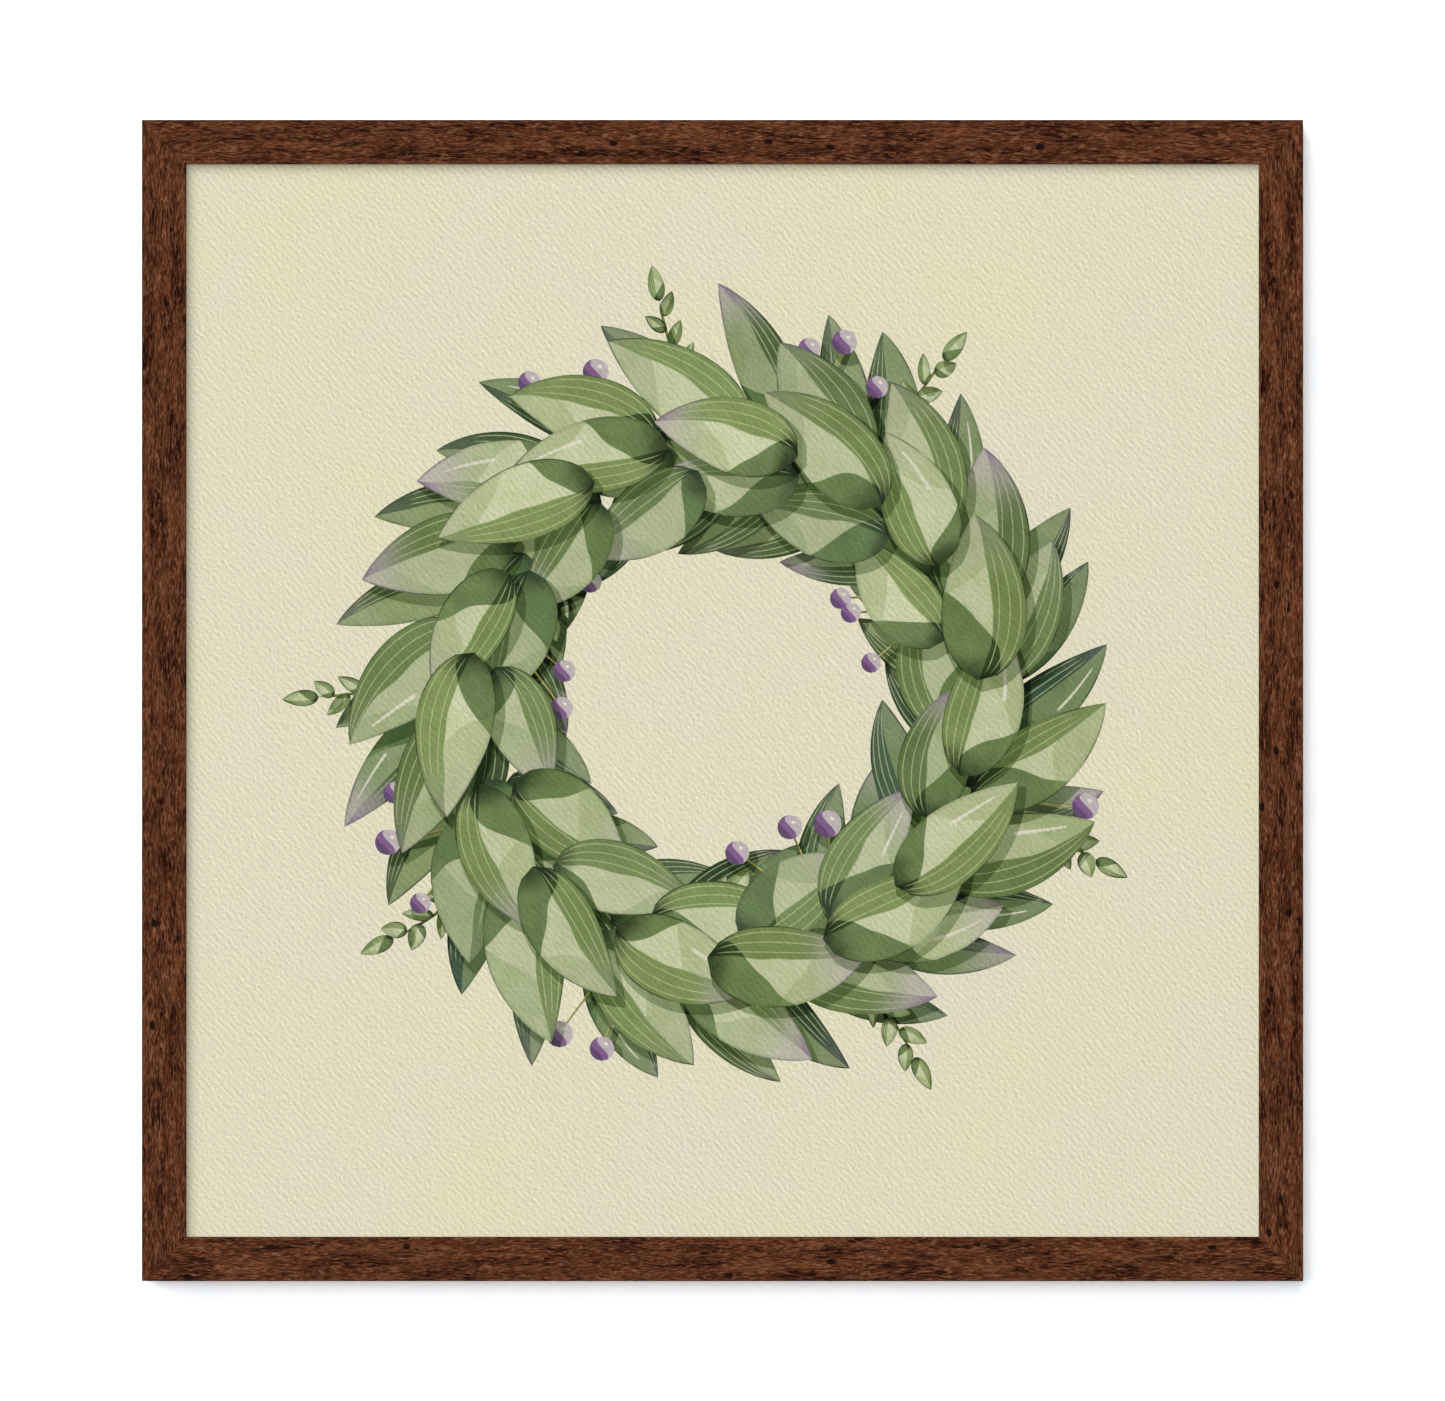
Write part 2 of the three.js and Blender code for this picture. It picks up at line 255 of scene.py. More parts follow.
class Surface(Tree):
    """A material's tree."""

    def __init__(self, name: str) -> None:
        """Makes the material, with an empty tree.

        Args:
            name: The material's name.
        """
        self.material = bpy.data.materials.new(name)
        self.material.use_nodes = True
        super().__init__(self.material.node_tree)
        self.tree.nodes.clear()

    def mixed(self, share: Value, first: Value, second: Value) -> bpy.types.Material:
        """Ends the tree in two shaders, the second over the first by share.

        Args:
            share: How much of the second there is.
            first: One shader.
            second: The other shader.

        Returns:
            The material.
        """
        both = self.add("ShaderNodeMixShader", {0: share, 1: first, 2: second})
        self.add("ShaderNodeOutputMaterial", {"Surface": both})
        return self.material

    def finished(self, height: Value | None = None, depth_mm: float = 0.0,
                 **sockets: Any) -> bpy.types.Material:
        """Ends the tree in the Principled shader.

        Args:
            height: The relief that a Bump node reads, if there is any.
            depth_mm: How deep that relief is.
            sockets: The shader's inputs, with _ for each space in their names.

        Returns:
            The material.
        """
        inputs = {name.replace("_", " "): value for name, value in sockets.items()}
        if height is not None:
            inputs["Normal"] = self.add("ShaderNodeBump", {"Height": height, "Distance": depth_mm * MM})
        shader = self.add("ShaderNodeBsdfPrincipled", inputs)
        self.add("ShaderNodeOutputMaterial", {"Surface": shader})
        return self.material


# ---- Finishes -----------------------------------------------------------------------------


@dataclass(frozen=True)
class WalnutFoil:
    """The satin walnut finish of the rails, whose grain runs along each one."""

    dark: Colour = srgb(42, 12, 2)
    brown: Colour = srgb(92, 49, 27)
    pale: Colour = srgb(136, 90, 64)
    orange: Colour = srgb(116, 61, 26)
    plum: Colour = srgb(26, 8, 4)
    knot: Colour = srgb(18, 8, 6)

    def build(self) -> bpy.types.Material:
        """Paints along the rails' grain attribute, in millimetres.

        Returns:
            The material.
        """
        s = Surface("walnut_foil")
        grain = s.attribute("grain")
        wave = s.noise(grain, (0.03, 0.14, 0.14), 2.0) - 0.5
        ripple = s.noise(grain, (0.18, 0.5, 0.5), 1.0, shift=(4, 0, 0)) - 0.5
        drift = s.vector(0.0, wave * 6.0 + ripple * 0.9, wave * 3.0)
        bent = s.add("ShaderNodeVectorMath", {0: grain, 1: drift}, operation="ADD")
        fibres = s.noise(bent, (0.16, 0.9, 0.9), 3.0, 0.6)
        threads = s.noise(bent, (0.34, 1.8, 1.8), 2.0, 0.7, shift=(2, 5, 0))
        dashes = s.noise(bent, (0.2, 1.7, 1.7), 1.5, 0.6, shift=(7, 3, 0)).ramp(0.53, 0.575)
        figure = s.noise(bent, (0.02, 0.2, 0.2), 3.0, shift=(31, 0, 5))
        clusters = s.noise(bent, (0.03, 0.16, 0.16), 3.0, shift=(0, 17, 9)).ramp(0.48, 0.6)
        streaks = s.noise(bent, (0.12, 1.3, 1.3), 2.0, 0.6, shift=(21, 1, 0)).ramp(0.5, 0.6)
        warmth = s.noise(bent, (0.025, 0.22, 0.22), 2.0, shift=(57, 0, 2)).ramp(0.48, 0.64)
        along, inward, depth = s.parts(grain)
        unrolled = s.vector(along * 0.04, (inward - depth) * 0.062)
        cells = {"Vector": unrolled, "Scale": 1.0}
        spots = s.add("ShaderNodeTexVoronoi", cells, voronoi_dimensions="2D")
        chosen = s.add("ShaderNodeSeparateColor", {0: spots["Color"]})[0] > 0.84
        knots = (1 - (spots["Distance"] + ripple * 0.08).ramp(0.06, 0.1)) * chosen
        # rim rises from 0 at the outer edge to 1 just inside it; the colour is darkened there as
        # painted shade on the rounded outer arris
        rim = inward.ramp(0.0, 0.7)

        tone = fibres * 0.8 + threads * 1.1 - 0.45
        colour = s.washed(
            self.dark,
            (tone.ramp(0.2, 0.46), self.brown),
            (tone.ramp(0.48, 0.72), self.pale),
            (warmth * 0.5, s.blend(threads.ramp(0.4, 0.6), self.orange, self.pale)),
            (figure.ramp(0.6, 0.3) * 0.25, self.dark),
            (clusters * 0.15, self.dark),
            (streaks * clusters * 0.85, self.plum),
            (dashes * (0.56 + clusters * 0.36), self.plum),
            (knots * 0.92, self.knot),
            # painted shade on the outer arris
            ((1 - rim) * 0.35, self.dark),
        )
        relief = tone * 0.6 - dashes * 0.6 - knots
        rough = 0.5 + 0.12 * dashes + 0.05 * fibres
        return s.finished(relief, 0.05, Base_Color=colour, Roughness=rough, Specular_IOR_Level=0.09)


@dataclass(frozen=True)
class RawPine:
    """Unfinished pale wood, on the backs of the rails and in their rebate."""

    pale: Colour = srgb(214, 182, 138)
    amber: Colour = srgb(178, 136, 88)
    fleck: Colour = srgb(132, 92, 56)

    def build(self) -> bpy.types.Material:
        """Paints along the rails' grain attribute, in millimetres.

        Returns:
            The material.
        """
        s = Surface("raw_pine")
        grain = s.attribute("grain")
        rings = s.noise(grain, (0.006, 0.22, 0.22), 3.0, 0.55, 0.6)
        bands = abs((rings * 9.0).fraction() - 0.5).ramp(0.1, 0.45)
        fuzz = s.noise(grain, (0.18, 2.6, 2.6), 3.0, 0.7)
        flecks = s.noise(grain, (0.12, 2.2, 2.2), 1.0, shift=(9, 4, 1)).ramp(0.62, 0.74)
        colour = s.washed(
            self.pale,
            (bands * 0.75, self.amber),
            (fuzz.ramp(0.4, 0.75) * 0.35, self.amber),
            (flecks * 0.45, self.fleck),
        )
        relief, rough = fuzz - flecks * 0.5, 0.72 + 0.15 * fuzz
        return s.finished(relief, 0.06, Base_Color=colour, Roughness=rough, Specular_IOR_Level=0.3)


@dataclass(frozen=True)
class ClearAcrylic:
    """Glazing that shows a soft gloss only where it is seen at a slant."""

    def build(self) -> bpy.types.Material:
        """Mixes clear with a mirror by the angle of sight.

        Returns:
            The material.
        """
        s = Surface("clear_acrylic")
        slant = s.add("ShaderNodeLayerWeight", {"Blend": 0.5})["Facing"]
        smears = s.noise(s.place(), (0.02, 0.02, 0.03), 3.0).ramp(0.3, 0.7)
        clear = s.add("ShaderNodeBsdfTransparent", {"Color": (0.985, 0.99, 0.99, 1)})
        gloss = s.add("ShaderNodeBsdfGlossy", {"Roughness": 0.03 + 0.03 * smears})
        return s.mixed(slant**4 * 0.75, clear, gloss)


@dataclass(frozen=True)
class WatercolourPrint:
    """Cream paper with an embossed slanting grain, printed with leaves in watercolour."""

    cream: Colour = srgb(232, 225, 198)
    straw: Colour = srgb(232, 226, 193)
    chalk: Colour = srgb(232, 224, 206)
    sage: Colour = srgb(210, 213, 172)
    fern: Colour = srgb(124, 140, 84)
    leaf: Colour = srgb(138, 155, 95)
    moss: Colour = srgb(84, 110, 50)
    deep: Colour = srgb(34, 58, 20)
    night: Colour = srgb(12, 22, 8)
    glaze: Colour = srgb(128, 148, 98)
    teal: Colour = srgb(84, 112, 98)
    vein: Colour = srgb(198, 204, 156)
    lilac: Colour = srgb(196, 182, 184)
    violet: Colour = srgb(132, 98, 140)
    olive: Colour = srgb(190, 184, 118)
    mustard: Colour = srgb(176, 160, 50)
    umber: Colour = srgb(108, 100, 56)
    grape: Colour = srgb(76, 60, 88)
    ridge_slope_deg: float = 48.0
    ridge_pitch_mm: float = 2.7

    def grain(self, s: Surface, place: Value) -> Value:
        """Embosses the paper with rows of short ridges that run down to the right.

        Args:
            s: The material's tree.
            place: The point on the sheet, in millimetres.

        Returns:
            The ridges' height, about 0 on average, which the colour also takes as painted light and
            shade.
        """
        turned = s.add(
            "ShaderNodeVectorRotate",
            {"Vector": place, "Angle": -math.radians(self.ridge_slope_deg)},
            rotation_type="Y_AXIS",
        )
        _, _, row = s.parts(turned)
        warp = s.noise(turned, (0.2, 0.0, 0.16), 2.0) - 0.5
        wave = (row * (2 * math.pi / self.ridge_pitch_mm) + warp * 9.0).maths("SINE")
        strength = s.noise(turned, (0.5, 0.0, 0.36), 2.0, shift=(5, 0, 9)).ramp(0.3, 0.66)
        stretch = (0.52, 0.0, 0.62)
        # here less toward_light makes each ridge lighter on one side and darker on the other: painted
        # light and shade of the ridges, as if lit from one way
        here = s.noise(turned, stretch, 1.5, 0.5, 0.3)
        toward_light = s.noise(turned, stretch, 1.5, 0.5, 0.3, shift=(0.0, 0.0, 0.26))
        return wave * strength * 0.13 + (here - toward_light)

    @staticmethod
    def spot(s: Surface) -> tuple[Value, Value, Value, Value]:
        """Reads where on its own stroke each point is.

        Args:
            s: The material's tree.

        Returns:
            The share along, the distance across, half the width there, and the share across.
        """
        along, across, half = s.parts(s.attribute("stroke_place"))
        return along, across, half, across / half.maths("MAXIMUM", 0.05)

    def leaves(self, s: Surface, place: Value) -> Value:
        """Paints leaves, from where on its own leaf each point is.

        Args:
            s: The material's tree.
            place: The point on the sheet, in millimetres.

        Returns:
            The colour.
        """
        along, across, half, share = self.spot(s)
        light, mauve, cool = s.parts(s.attribute("stroke_paint"))
        seed, _, _ = s.parts(s.attribute("stroke_layer"))
        own = s.vector(seed * 900.0, seed * 370.0)
        here = s.add("ShaderNodeVectorMath", {0: place, 1: own}, operation="ADD")
        wander = s.noise(here, 0.03, 1.0) - 0.5
        bloom = s.noise(here, 0.09, 3.0, 0.6)
        side = share * ((seed > 0.5) * 2.0 - 1.0)
        shaded = (side + wander * 0.5 - 0.2).ramp(-0.02, 0.02)
        low_shade, high_shade = (seed * 7.0).fraction() * 0.22, (seed * 13.0).fraction() * 0.3
        foot = (along + side * 0.24 + wander * 0.3 - low_shade).ramp(0.13, 0.138)
        crown = (along - side * 0.22 + wander * 0.3 + high_shade).ramp(0.8, 0.81)
        root = (along + bloom * 0.12).ramp(0.26, 0.06)

        lit, dim = s.blend(light, self.fern, self.sage), s.blend(light, self.deep, self.leaf)
        rows = (abs(share) * 4.0 + 0.1).fraction()
        line = 1 - (abs(rows - 0.5) * half * 0.25).ramp(0.1, 0.34)
        reach = along.ramp(0.03, 0.12) * (1 - (along + wander * 0.6).ramp(0.78, 0.9))
        veined = line * reach * shaded * half.ramp(2.5, 4.0)
        wedge = (1 - abs(side + 0.62 - along * 0.3).ramp(0.03, 0.07)) * along.ramp(0.5, 0.53)
        chosen = (seed * 5.0).fraction() > 0.72
        bare = wedge * (1 - along.ramp(0.82, 0.84)) * chosen * half.ramp(4.0, 8.0)
        margin = half - abs(across)
        inked = s.noise(here, 0.05, 2.0, shift=(5, 2, 8))
        contour = (1 - (margin - inked.ramp(0.4, 0.7) * 0.55).ramp(0.0, 0.3)) * inked.ramp(0.36, 0.5)
        colour = s.washed(
            lit,
            (shaded, dim),
            ((1 - foot) * 0.85, s.blend(shaded, self.moss, self.deep)),
            (root * 0.8, self.night),
            (crown * (1 - shaded) * 0.35, self.leaf),
            (cool * 0.45, self.teal),
            (veined * 0.62, self.vein),
            (bare * 0.8, self.chalk),
            ((along + wander * 0.2).ramp(0.58, 1.0) * mauve * 0.85, self.lilac),
            (along.ramp(0.8, 1.0) * shaded * mauve * 0.8, self.violet),
            (contour * 0.72, s.blend(mauve * along.ramp(0.6, 0.9), self.night, self.violet)),
            ((1 - margin.ramp(0.0, 2.2)) * 0.22, self.deep),
        )
        mottle = s.add("ShaderNodeCombineColor", {0: bloom, 1: bloom, 2: bloom})
        return s.blend(0.34, colour, mottle, "SOFT_LIGHT")

    def stems(self, s: Surface) -> Value:
        """Paints stems olive, with a yellow line and a brown side.

        Args:
            s: The material's tree.

        Returns:
            The colour.
        """
        _, _, _, share = self.spot(s)
        colour = s.blend(share.ramp(0.1, 0.3), self.olive, self.umber)
        return s.blend((1 - abs(share + 0.35).ramp(0.1, 0.3)) * 0.8, colour, self.mustard)

    def berries(self, s: Surface) -> Value:
        """Paints berries lilac, with a violet shade and a pale light.

        Args:
            s: The material's tree.

        Returns:
            The colour.
        """
        along, _, _, share = self.spot(s)
        shade = (share * 0.5 - along + 0.55).ramp(-0.02, 0.04)
        core = (share * 0.5 - along + 0.2).ramp(-0.02, 0.04)
        glint = 1 - (abs(share + 0.35) * 0.4 + abs(along - 0.7)).ramp(0.06, 0.12)
        return s.washed(self.lilac, (shade, self.violet), (core * 0.6, self.grape), (glint, self.chalk))

    def build(self) -> bpy.types.Material:
        """Paints by the sheet's stroke attributes.

        Returns:
            The material.
        """
        s = Surface("watercolour_print")
        place = s.place()
        _, layers, motif = s.parts(s.attribute("stroke_layer"))  # layers of shade, a Motif's number
        clouds = s.noise(place, (0.012, 0.012, 0.016), 3.0, 0.6)
        veil = s.noise(place, (0.017, 0.017, 0.022), 3.0, 0.6, shift=(40, 0, 3))
        paper = s.blend(clouds.ramp(0.4, 0.66), self.cream, self.straw)
        paper = s.blend(veil.ramp(0.5, 0.72) * 0.6, paper, self.chalk)
        leaves, stems, berries = self.leaves(s, place), self.stems(s), self.berries(s)
        colour = s.washed(leaves, (motif > 1.5, stems), (motif > 2.5, berries))
        depth = 1 - layers.maths("MULTIPLY", -0.95).maths("EXPONENT")
        colour = s.blend(depth, colour, s.blend(1.0, colour, self.glaze, "MULTIPLY"))
        colour = s.blend((layers - 1.0) * 0.5, colour, self.night)
        colour = s.blend(motif > 0.5, paper, colour)
        # The ridges' value is the bump's height, and it also multiplies the colour as painted light and
        # shade; tooth adds random tone
        ridges_and_painted_shade = self.grain(s, place)
        tooth = s.noise(place, 1.3, 2.0)
        relief = 1.0 + ridges_and_painted_shade * 0.66 + (tooth - 0.5) * 0.18
        colour = s.scaled(colour, s.vector(relief, relief, relief))
        return s.finished(ridges_and_painted_shade, 0.12, Base_Color=colour, Roughness=0.86, Specular_IOR_Level=0.2)


@dataclass(frozen=True)
class Fibreboard:
    """A board of pressed fibres: brown hardboard or a white mount board."""

    name: str
    body: Colour
    fibre: Colour
    speck: Colour
    roughness: float
    contrast: float

    def build(self) -> bpy.types.Material:
        """Paints it.

        Returns:
            The material.
        """
        s = Surface(self.name)
        place = s.place()
        mat = s.noise(place, (0.9, 0.9, 0.35), 3.0, 0.7, 0.8)
        cross = s.noise(place, (0.3, 0.9, 1.1), 3.0, 0.7, 0.8, shift=(7, 7, 7))
        clouds = s.noise(place, 0.012, 3.0)
        specks = s.noise(place, 1.1, 1.0, shift=(3, 9, 4)).ramp(0.66, 0.74)
        colour = s.washed(
            self.body,
            (mat.ramp(0.42, 0.7) * self.contrast, self.fibre),
            (cross.ramp(0.5, 0.75) * self.contrast, self.fibre),
            (specks * self.contrast, self.speck),
            (clouds.ramp(0.35, 0.7) * self.contrast * 0.14, self.speck),
        )
        rough = self.roughness + 0.1 * mat
        relief = mat + cross
        return s.finished(relief, 0.04, Base_Color=colour, Roughness=rough, Specular_IOR_Level=0.35)


@dataclass(frozen=True)
class SheetMetal:
    """Bright or dull steel with fine rolling marks and a little tarnish."""

    name: str
    bright: Colour
    dull: Colour
    roughness: float
    marks_mm: Point

    def build(self) -> bpy.types.Material:
        """Paints it.

        Returns:
            The material.
        """
        s = Surface(self.name)
        place = s.place()
        marks = s.noise(place, self.marks_mm, 3.0, 0.7)
        cloud = s.noise(place, 0.25, 3.0, shift=(4, 4, 4))
        pits = s.noise(place, 2.2, 2.0).ramp(0.66, 0.76)
        tarnish = cloud.ramp(0.38, 0.7) * 0.6
        colour = s.washed(self.bright, (tarnish, self.dull), (pits * 0.5, self.dull))
        rough = self.roughness + 0.14 * cloud + 0.1 * marks + 0.15 * pits
        return s.finished(marks - pits, 0.008, Base_Color=colour, Roughness=rough, Metallic=1.0)


@dataclass(frozen=True)
class BlackRubber:
    """Soft black rubber with a dusty bloom."""

    body: Colour = srgb(26, 26, 27)
    dust: Colour = srgb(74, 72, 70)

    def build(self) -> bpy.types.Material:
        """Paints it.

        Returns:
            The material.
        """
        s = Surface("black_rubber")
        place = s.place()
        stipple = s.noise(place, 3.0, 2.0)
        bloom = s.noise(place, 0.35, 3.0).ramp(0.45, 0.75)
        colour = s.blend(bloom * 0.4, self.body, self.dust)
        return s.finished(stipple, 0.02, Base_Color=colour, Roughness=0.62 + 0.2 * bloom)


# ---- Meshes -------------------------------------------------------------------------------


def linked(name: str, data: bpy.types.ID | Sequence[Sequence[Any]],
           unit: float = 1.0) -> bpy.types.Object:
    """Adds an object to the scene.

    Args:
        name: The object's name.
        data: A camera or a light, or the points, edges and faces of a new mesh.
        unit: One unit of the points, in metres.

    Returns:
        The object.
    """
    if not isinstance(data, bpy.types.ID):
        points, edges, faces = data
        data = bpy.data.meshes.new(name)
        data.from_pydata([tuple(unit * value for value in point) for point in points], edges, faces)
    made = bpy.data.objects.new(name, data)
    bpy.context.scene.collection.objects.link(made)
    return made


@contextlib.contextmanager
def edited(piece: bpy.types.Object, smooth_deg: float) -> Iterator[bmesh.types.BMesh]:
    """Opens a piece's mesh for changes, then writes them back and shades it.

    Args:
        piece: The piece.
        smooth_deg: Edges flatter than this are shaded smooth.

    Yields:
        The mesh to change.
    """
    work = bmesh.new()
    work.from_mesh(piece.data)
    yield work
    work.to_mesh(piece.data)
    work.free()
    soften(piece, smooth_deg)


def solid(name: str, points: Sequence[Point], faces: Sequence[Sequence[int]],
          smooth_deg: float = 35.0, unit: float = MM) -> bpy.types.Object:
    """Makes a closed mesh object with its faces outwards.

    Args:
        name: The object's name.
        points: Its points.
        faces: Its faces, as indices of points.
        smooth_deg: Edges flatter than this are shaded smooth.
        unit: One unit of the points, in metres.

    Returns:
        The object, linked to the scene.
    """
    made = linked(name, (points, [], faces), unit)
    with edited(made, smooth_deg) as work:
        bmesh.ops.remove_doubles(work, verts=work.verts, dist=MERGE)
        bmesh.ops.recalc_face_normals(work, faces=work.faces)
    return made


def soften(piece: bpy.types.Object, smooth_deg: float = 35.0) -> None:
    """Shades a piece smooth, apart from edges sharper than smooth_deg."""
    piece.data.shade_smooth()
    piece.data.set_sharp_from_angle(angle=math.radians(smooth_deg))


def numbers(items: bpy.types.bpy_prop_collection, name: str, width: int,
            kind: type = np.float32) -> np.ndarray:
    """Reads one property of all a mesh's points, corners or faces.

    Args:
        items: The points, corners or faces.
        name: The property.
        width: How many numbers it has.
        kind: The numbers' type.

    Returns:
        The numbers, a row to each item.
    """
    found = np.empty(len(items) * width, kind)
    items.foreach_get(name, found)
    return found.reshape(-1, width)


def loft(rings: Sequence[Sequence[Point]]) -> tuple[list[Point], list[list[int]]]:
    """Skins a row of outlines, with a flat face at both ends.

    Args:
        rings: The outlines, of as many points each.

    Returns:
        The points and the faces.
    """
    count = len(rings[0])
    faces = [list(range(count)), [(len(rings) - 1) * count + i for i in range(count)]]
    for ring in range(len(rings) - 1):
        for i in range(count):
            here, beside = ring * count + i, ring * count + (i + 1) % count
            faces.append([here, beside, beside + count, here + count])
    return [point for ring in rings for point in ring], faces


def arc(centre: Pair, radius: float, start_deg: float, end_deg: float, steps: int) -> list[Pair]:
    """Points along an arc, both ends included."""
    angles = np.radians(np.linspace(start_deg, end_deg, steps + 1))
    return [(centre[0] + radius * math.cos(a), centre[1] + radius * math.sin(a)) for a in angles]


def wheel(sides: int) -> list[Pair]:
    """Points round a circle of radius 1."""
    return arc((0, 0), 1, 0, 360 - 360 / sides, sides - 1)


def lathe(name: str, profile: Sequence[Pair], sides: int = 40) -> bpy.types.Object:
    """A solid turned about the Y axis, from (radius, y) points that start and end on it."""
    return solid(name, *loft([[(r * x, y, r * z) for x, z in wheel(sides)] for r, y in profile]))


@dataclass(frozen=True)
class Station:
    """A cross-section of a strip of sheet metal whose width lies along X. Millimetres."""

    middle: Pair  # y, z
    up: Pair  # the way its upper face looks
    half_width: float
    rib: float = 0.0  # how high the middle of the strip is pressed up


def strip(name: str, stations: Sequence[Station], thickness: float, rounding: float = 0.2,
          rib_half: float = 1.6) -> bpy.types.Object:
    """Makes sheet metal with rounded edges that follows a path in Y and Z.

    Args:
        name: The object's name.
        stations: Its cross-sections, from one end to the other.
        thickness: How thick the metal is, in millimetres.
        rounding: The radius of its edges.
        rib_half: Half the width of the rib pressed into it.

    Returns:
        The object.
    """
    rings = []
    for station in stations:
        edge = min(rounding, station.half_width * 0.9)
        wide, flat = station.half_width - edge, thickness / 2 - edge
        quarters = [arc((side * wide, level * flat), edge, start, start + 90, 3)
                    for side, level, start in ((1, 1, 0), (-1, 1, 90), (-1, -1, 180), (1, -1, 270))]
        across = wide * np.linspace(-0.95, 0.95, 11)
        rib = station.rib * np.exp(-((across / rib_half) ** 4))
        over = list(zip(across[::-1], thickness / 2 + rib[::-1]))
        under = list(zip(across, rib - thickness / 2))
        outline = [*quarters[0], *over, *quarters[1], *quarters[2], *under, *quarters[3]]
        (y, z), (up_y, up_z) = station.middle, station.up
        rings.append([(x, y + level * up_y, z + level * up_z) for x, level in outline])
    return solid(name, *loft(rings), smooth_deg=50)


def rounded_plate(name: str, low: Vector, high: Vector, radius_mm: float) -> bpy.types.Object:
    """Makes a flat board with rounded edges.

    Args:
        name: The object's name.
        low: Its lowest corner, in metres.
        high: Its highest corner, in metres.
        radius_mm: The radius of its edges.

    Returns:
        The object.
    """
    corners = [(x, y, z) for x in (low.x, high.x) for y in (low.y, high.y) for z in (low.z, high.z)]
    sides = [(0, 1, 3, 2), (4, 6, 7, 5), (0, 4, 5, 1), (2, 3, 7, 6), (0, 2, 6, 4), (1, 5, 7, 3)]
    board = solid(name, corners, sides, unit=1.0)
    with edited(board, 50) as work:
        bmesh.ops.bevel(
            work, geom=work.edges, offset=radius_mm * MM, segments=3, profile=0.5, affect="EDGES"
        )
    return board


def settle(piece: bpy.types.Object) -> None:
    """Turns what a piece's modifiers make into its plain mesh.

    Args:
        piece: The piece.
    """
    graph = bpy.context.evaluated_depsgraph_get()
    made = bpy.data.meshes.new_from_object(
        piece.evaluated_get(graph), preserve_all_data_layers=True, depsgraph=graph
    )
    piece.modifiers.clear()
    piece.data = made
    made.name = piece.name


def carve(piece: bpy.types.Object, cutters: Sequence[bpy.types.Object], smooth_deg: float) -> None:
    """Cuts other objects out of a piece, and removes them.

    Args:
        piece: The piece.
        cutters: What is cut out of it.
        smooth_deg: Edges flatter than this are shaded smooth.
    """
    for cutter in cutters:
        cut = piece.modifiers.new(cutter.name, "BOOLEAN")
        cut.operation, cut.solver, cut.object = "DIFFERENCE", "EXACT", cutter
    settle(piece)
    for cutter in cutters:
        bpy.data.objects.remove(cutter)
    with edited(piece, smooth_deg) as work:
        bmesh.ops.remove_doubles(work, verts=work.verts, dist=2 * MERGE)
        bmesh.ops.dissolve_degenerate(work, edges=work.edges, dist=2 * MERGE)


def dress(piece: bpy.types.Object, *finishes: bpy.types.Material) -> None:
    """Gives a piece its finishes.

    Args:
        piece: The piece.
        finishes: One material for each of its slots.
    """
    piece.data.materials.clear()
    for finish in finishes:
        piece.data.materials.append(finish)


def take_over(piece: bpy.types.Object, body: str, slot: str, *nodes: str) -> None:
    """Puts a finished piece on its body.

    Args:
        piece: The piece.
        body: The body.
        slot: The piece's material slot. Not used.
        nodes: The frame's plain nodes that it takes the place of.
    """
    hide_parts(*nodes)
    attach(piece, body)
    LOG.info("%s: %d faces on %s", piece.name, len(piece.data.polygons), body)


class Builder(Tree):
    """A geometry tree that makes a piece's final mesh from its first one."""

    def __init__(self, name: str, **kinds: str) -> None:
        """Makes the tree with its inputs.

        Args:
            name: The tree's name.
            kinds: The kind of each input, by its name with _ for each space.
        """
        group = bpy.data.node_groups.new(name, "GeometryNodeTree")
        super().__init__(group)
        for side in ("INPUT", "OUTPUT"):
            group.interface.new_socket("Geometry", in_out=side, socket_type="NodeSocketGeometry")
        for label, kind in {**kinds, "Finish": "Material"}.items():
            title, socket_type = label.replace("_", " "), f"NodeSocket{kind}"
            group.interface.new_socket(title, in_out="INPUT", socket_type=socket_type)
        items = group.interface.items_tree
        self.keys = {item.name: item.identifier for item in items if item.in_out == "INPUT"}
        self.given = self.add("NodeGroupInput")

    def close(self, geometry: Value) -> Builder:
        """Ends the tree in real geometry with its finish.

        Args:
            geometry: What the tree has made.

        Returns:
            The builder.
        """
        real = self.add("GeometryNodeRealizeInstances", {0: geometry})
        inputs = {"Geometry": real, "Material": self.given["Finish"]}
        self.add("NodeGroupOutput", {0: self.add("GeometryNodeSetMaterial", inputs)})
        return self

    def run(self, piece: bpy.types.Object, smooth_deg: float = 40.0, **inputs: Any) -> None:
        """Makes a piece's final mesh.

        Args:
            piece: The piece, with its first mesh.
            smooth_deg: Edges flatter than this are shaded smooth.
            inputs: The tree's inputs, with _ for each space in their names.
        """
        modifier = piece.modifiers.new(self.tree.name, "NODES")
        modifier.node_group = self.tree
        for label, value in inputs.items():
            modifier[self.keys[label.replace("_", " ")]] = value
        settle(piece)
        soften(piece, smooth_deg)


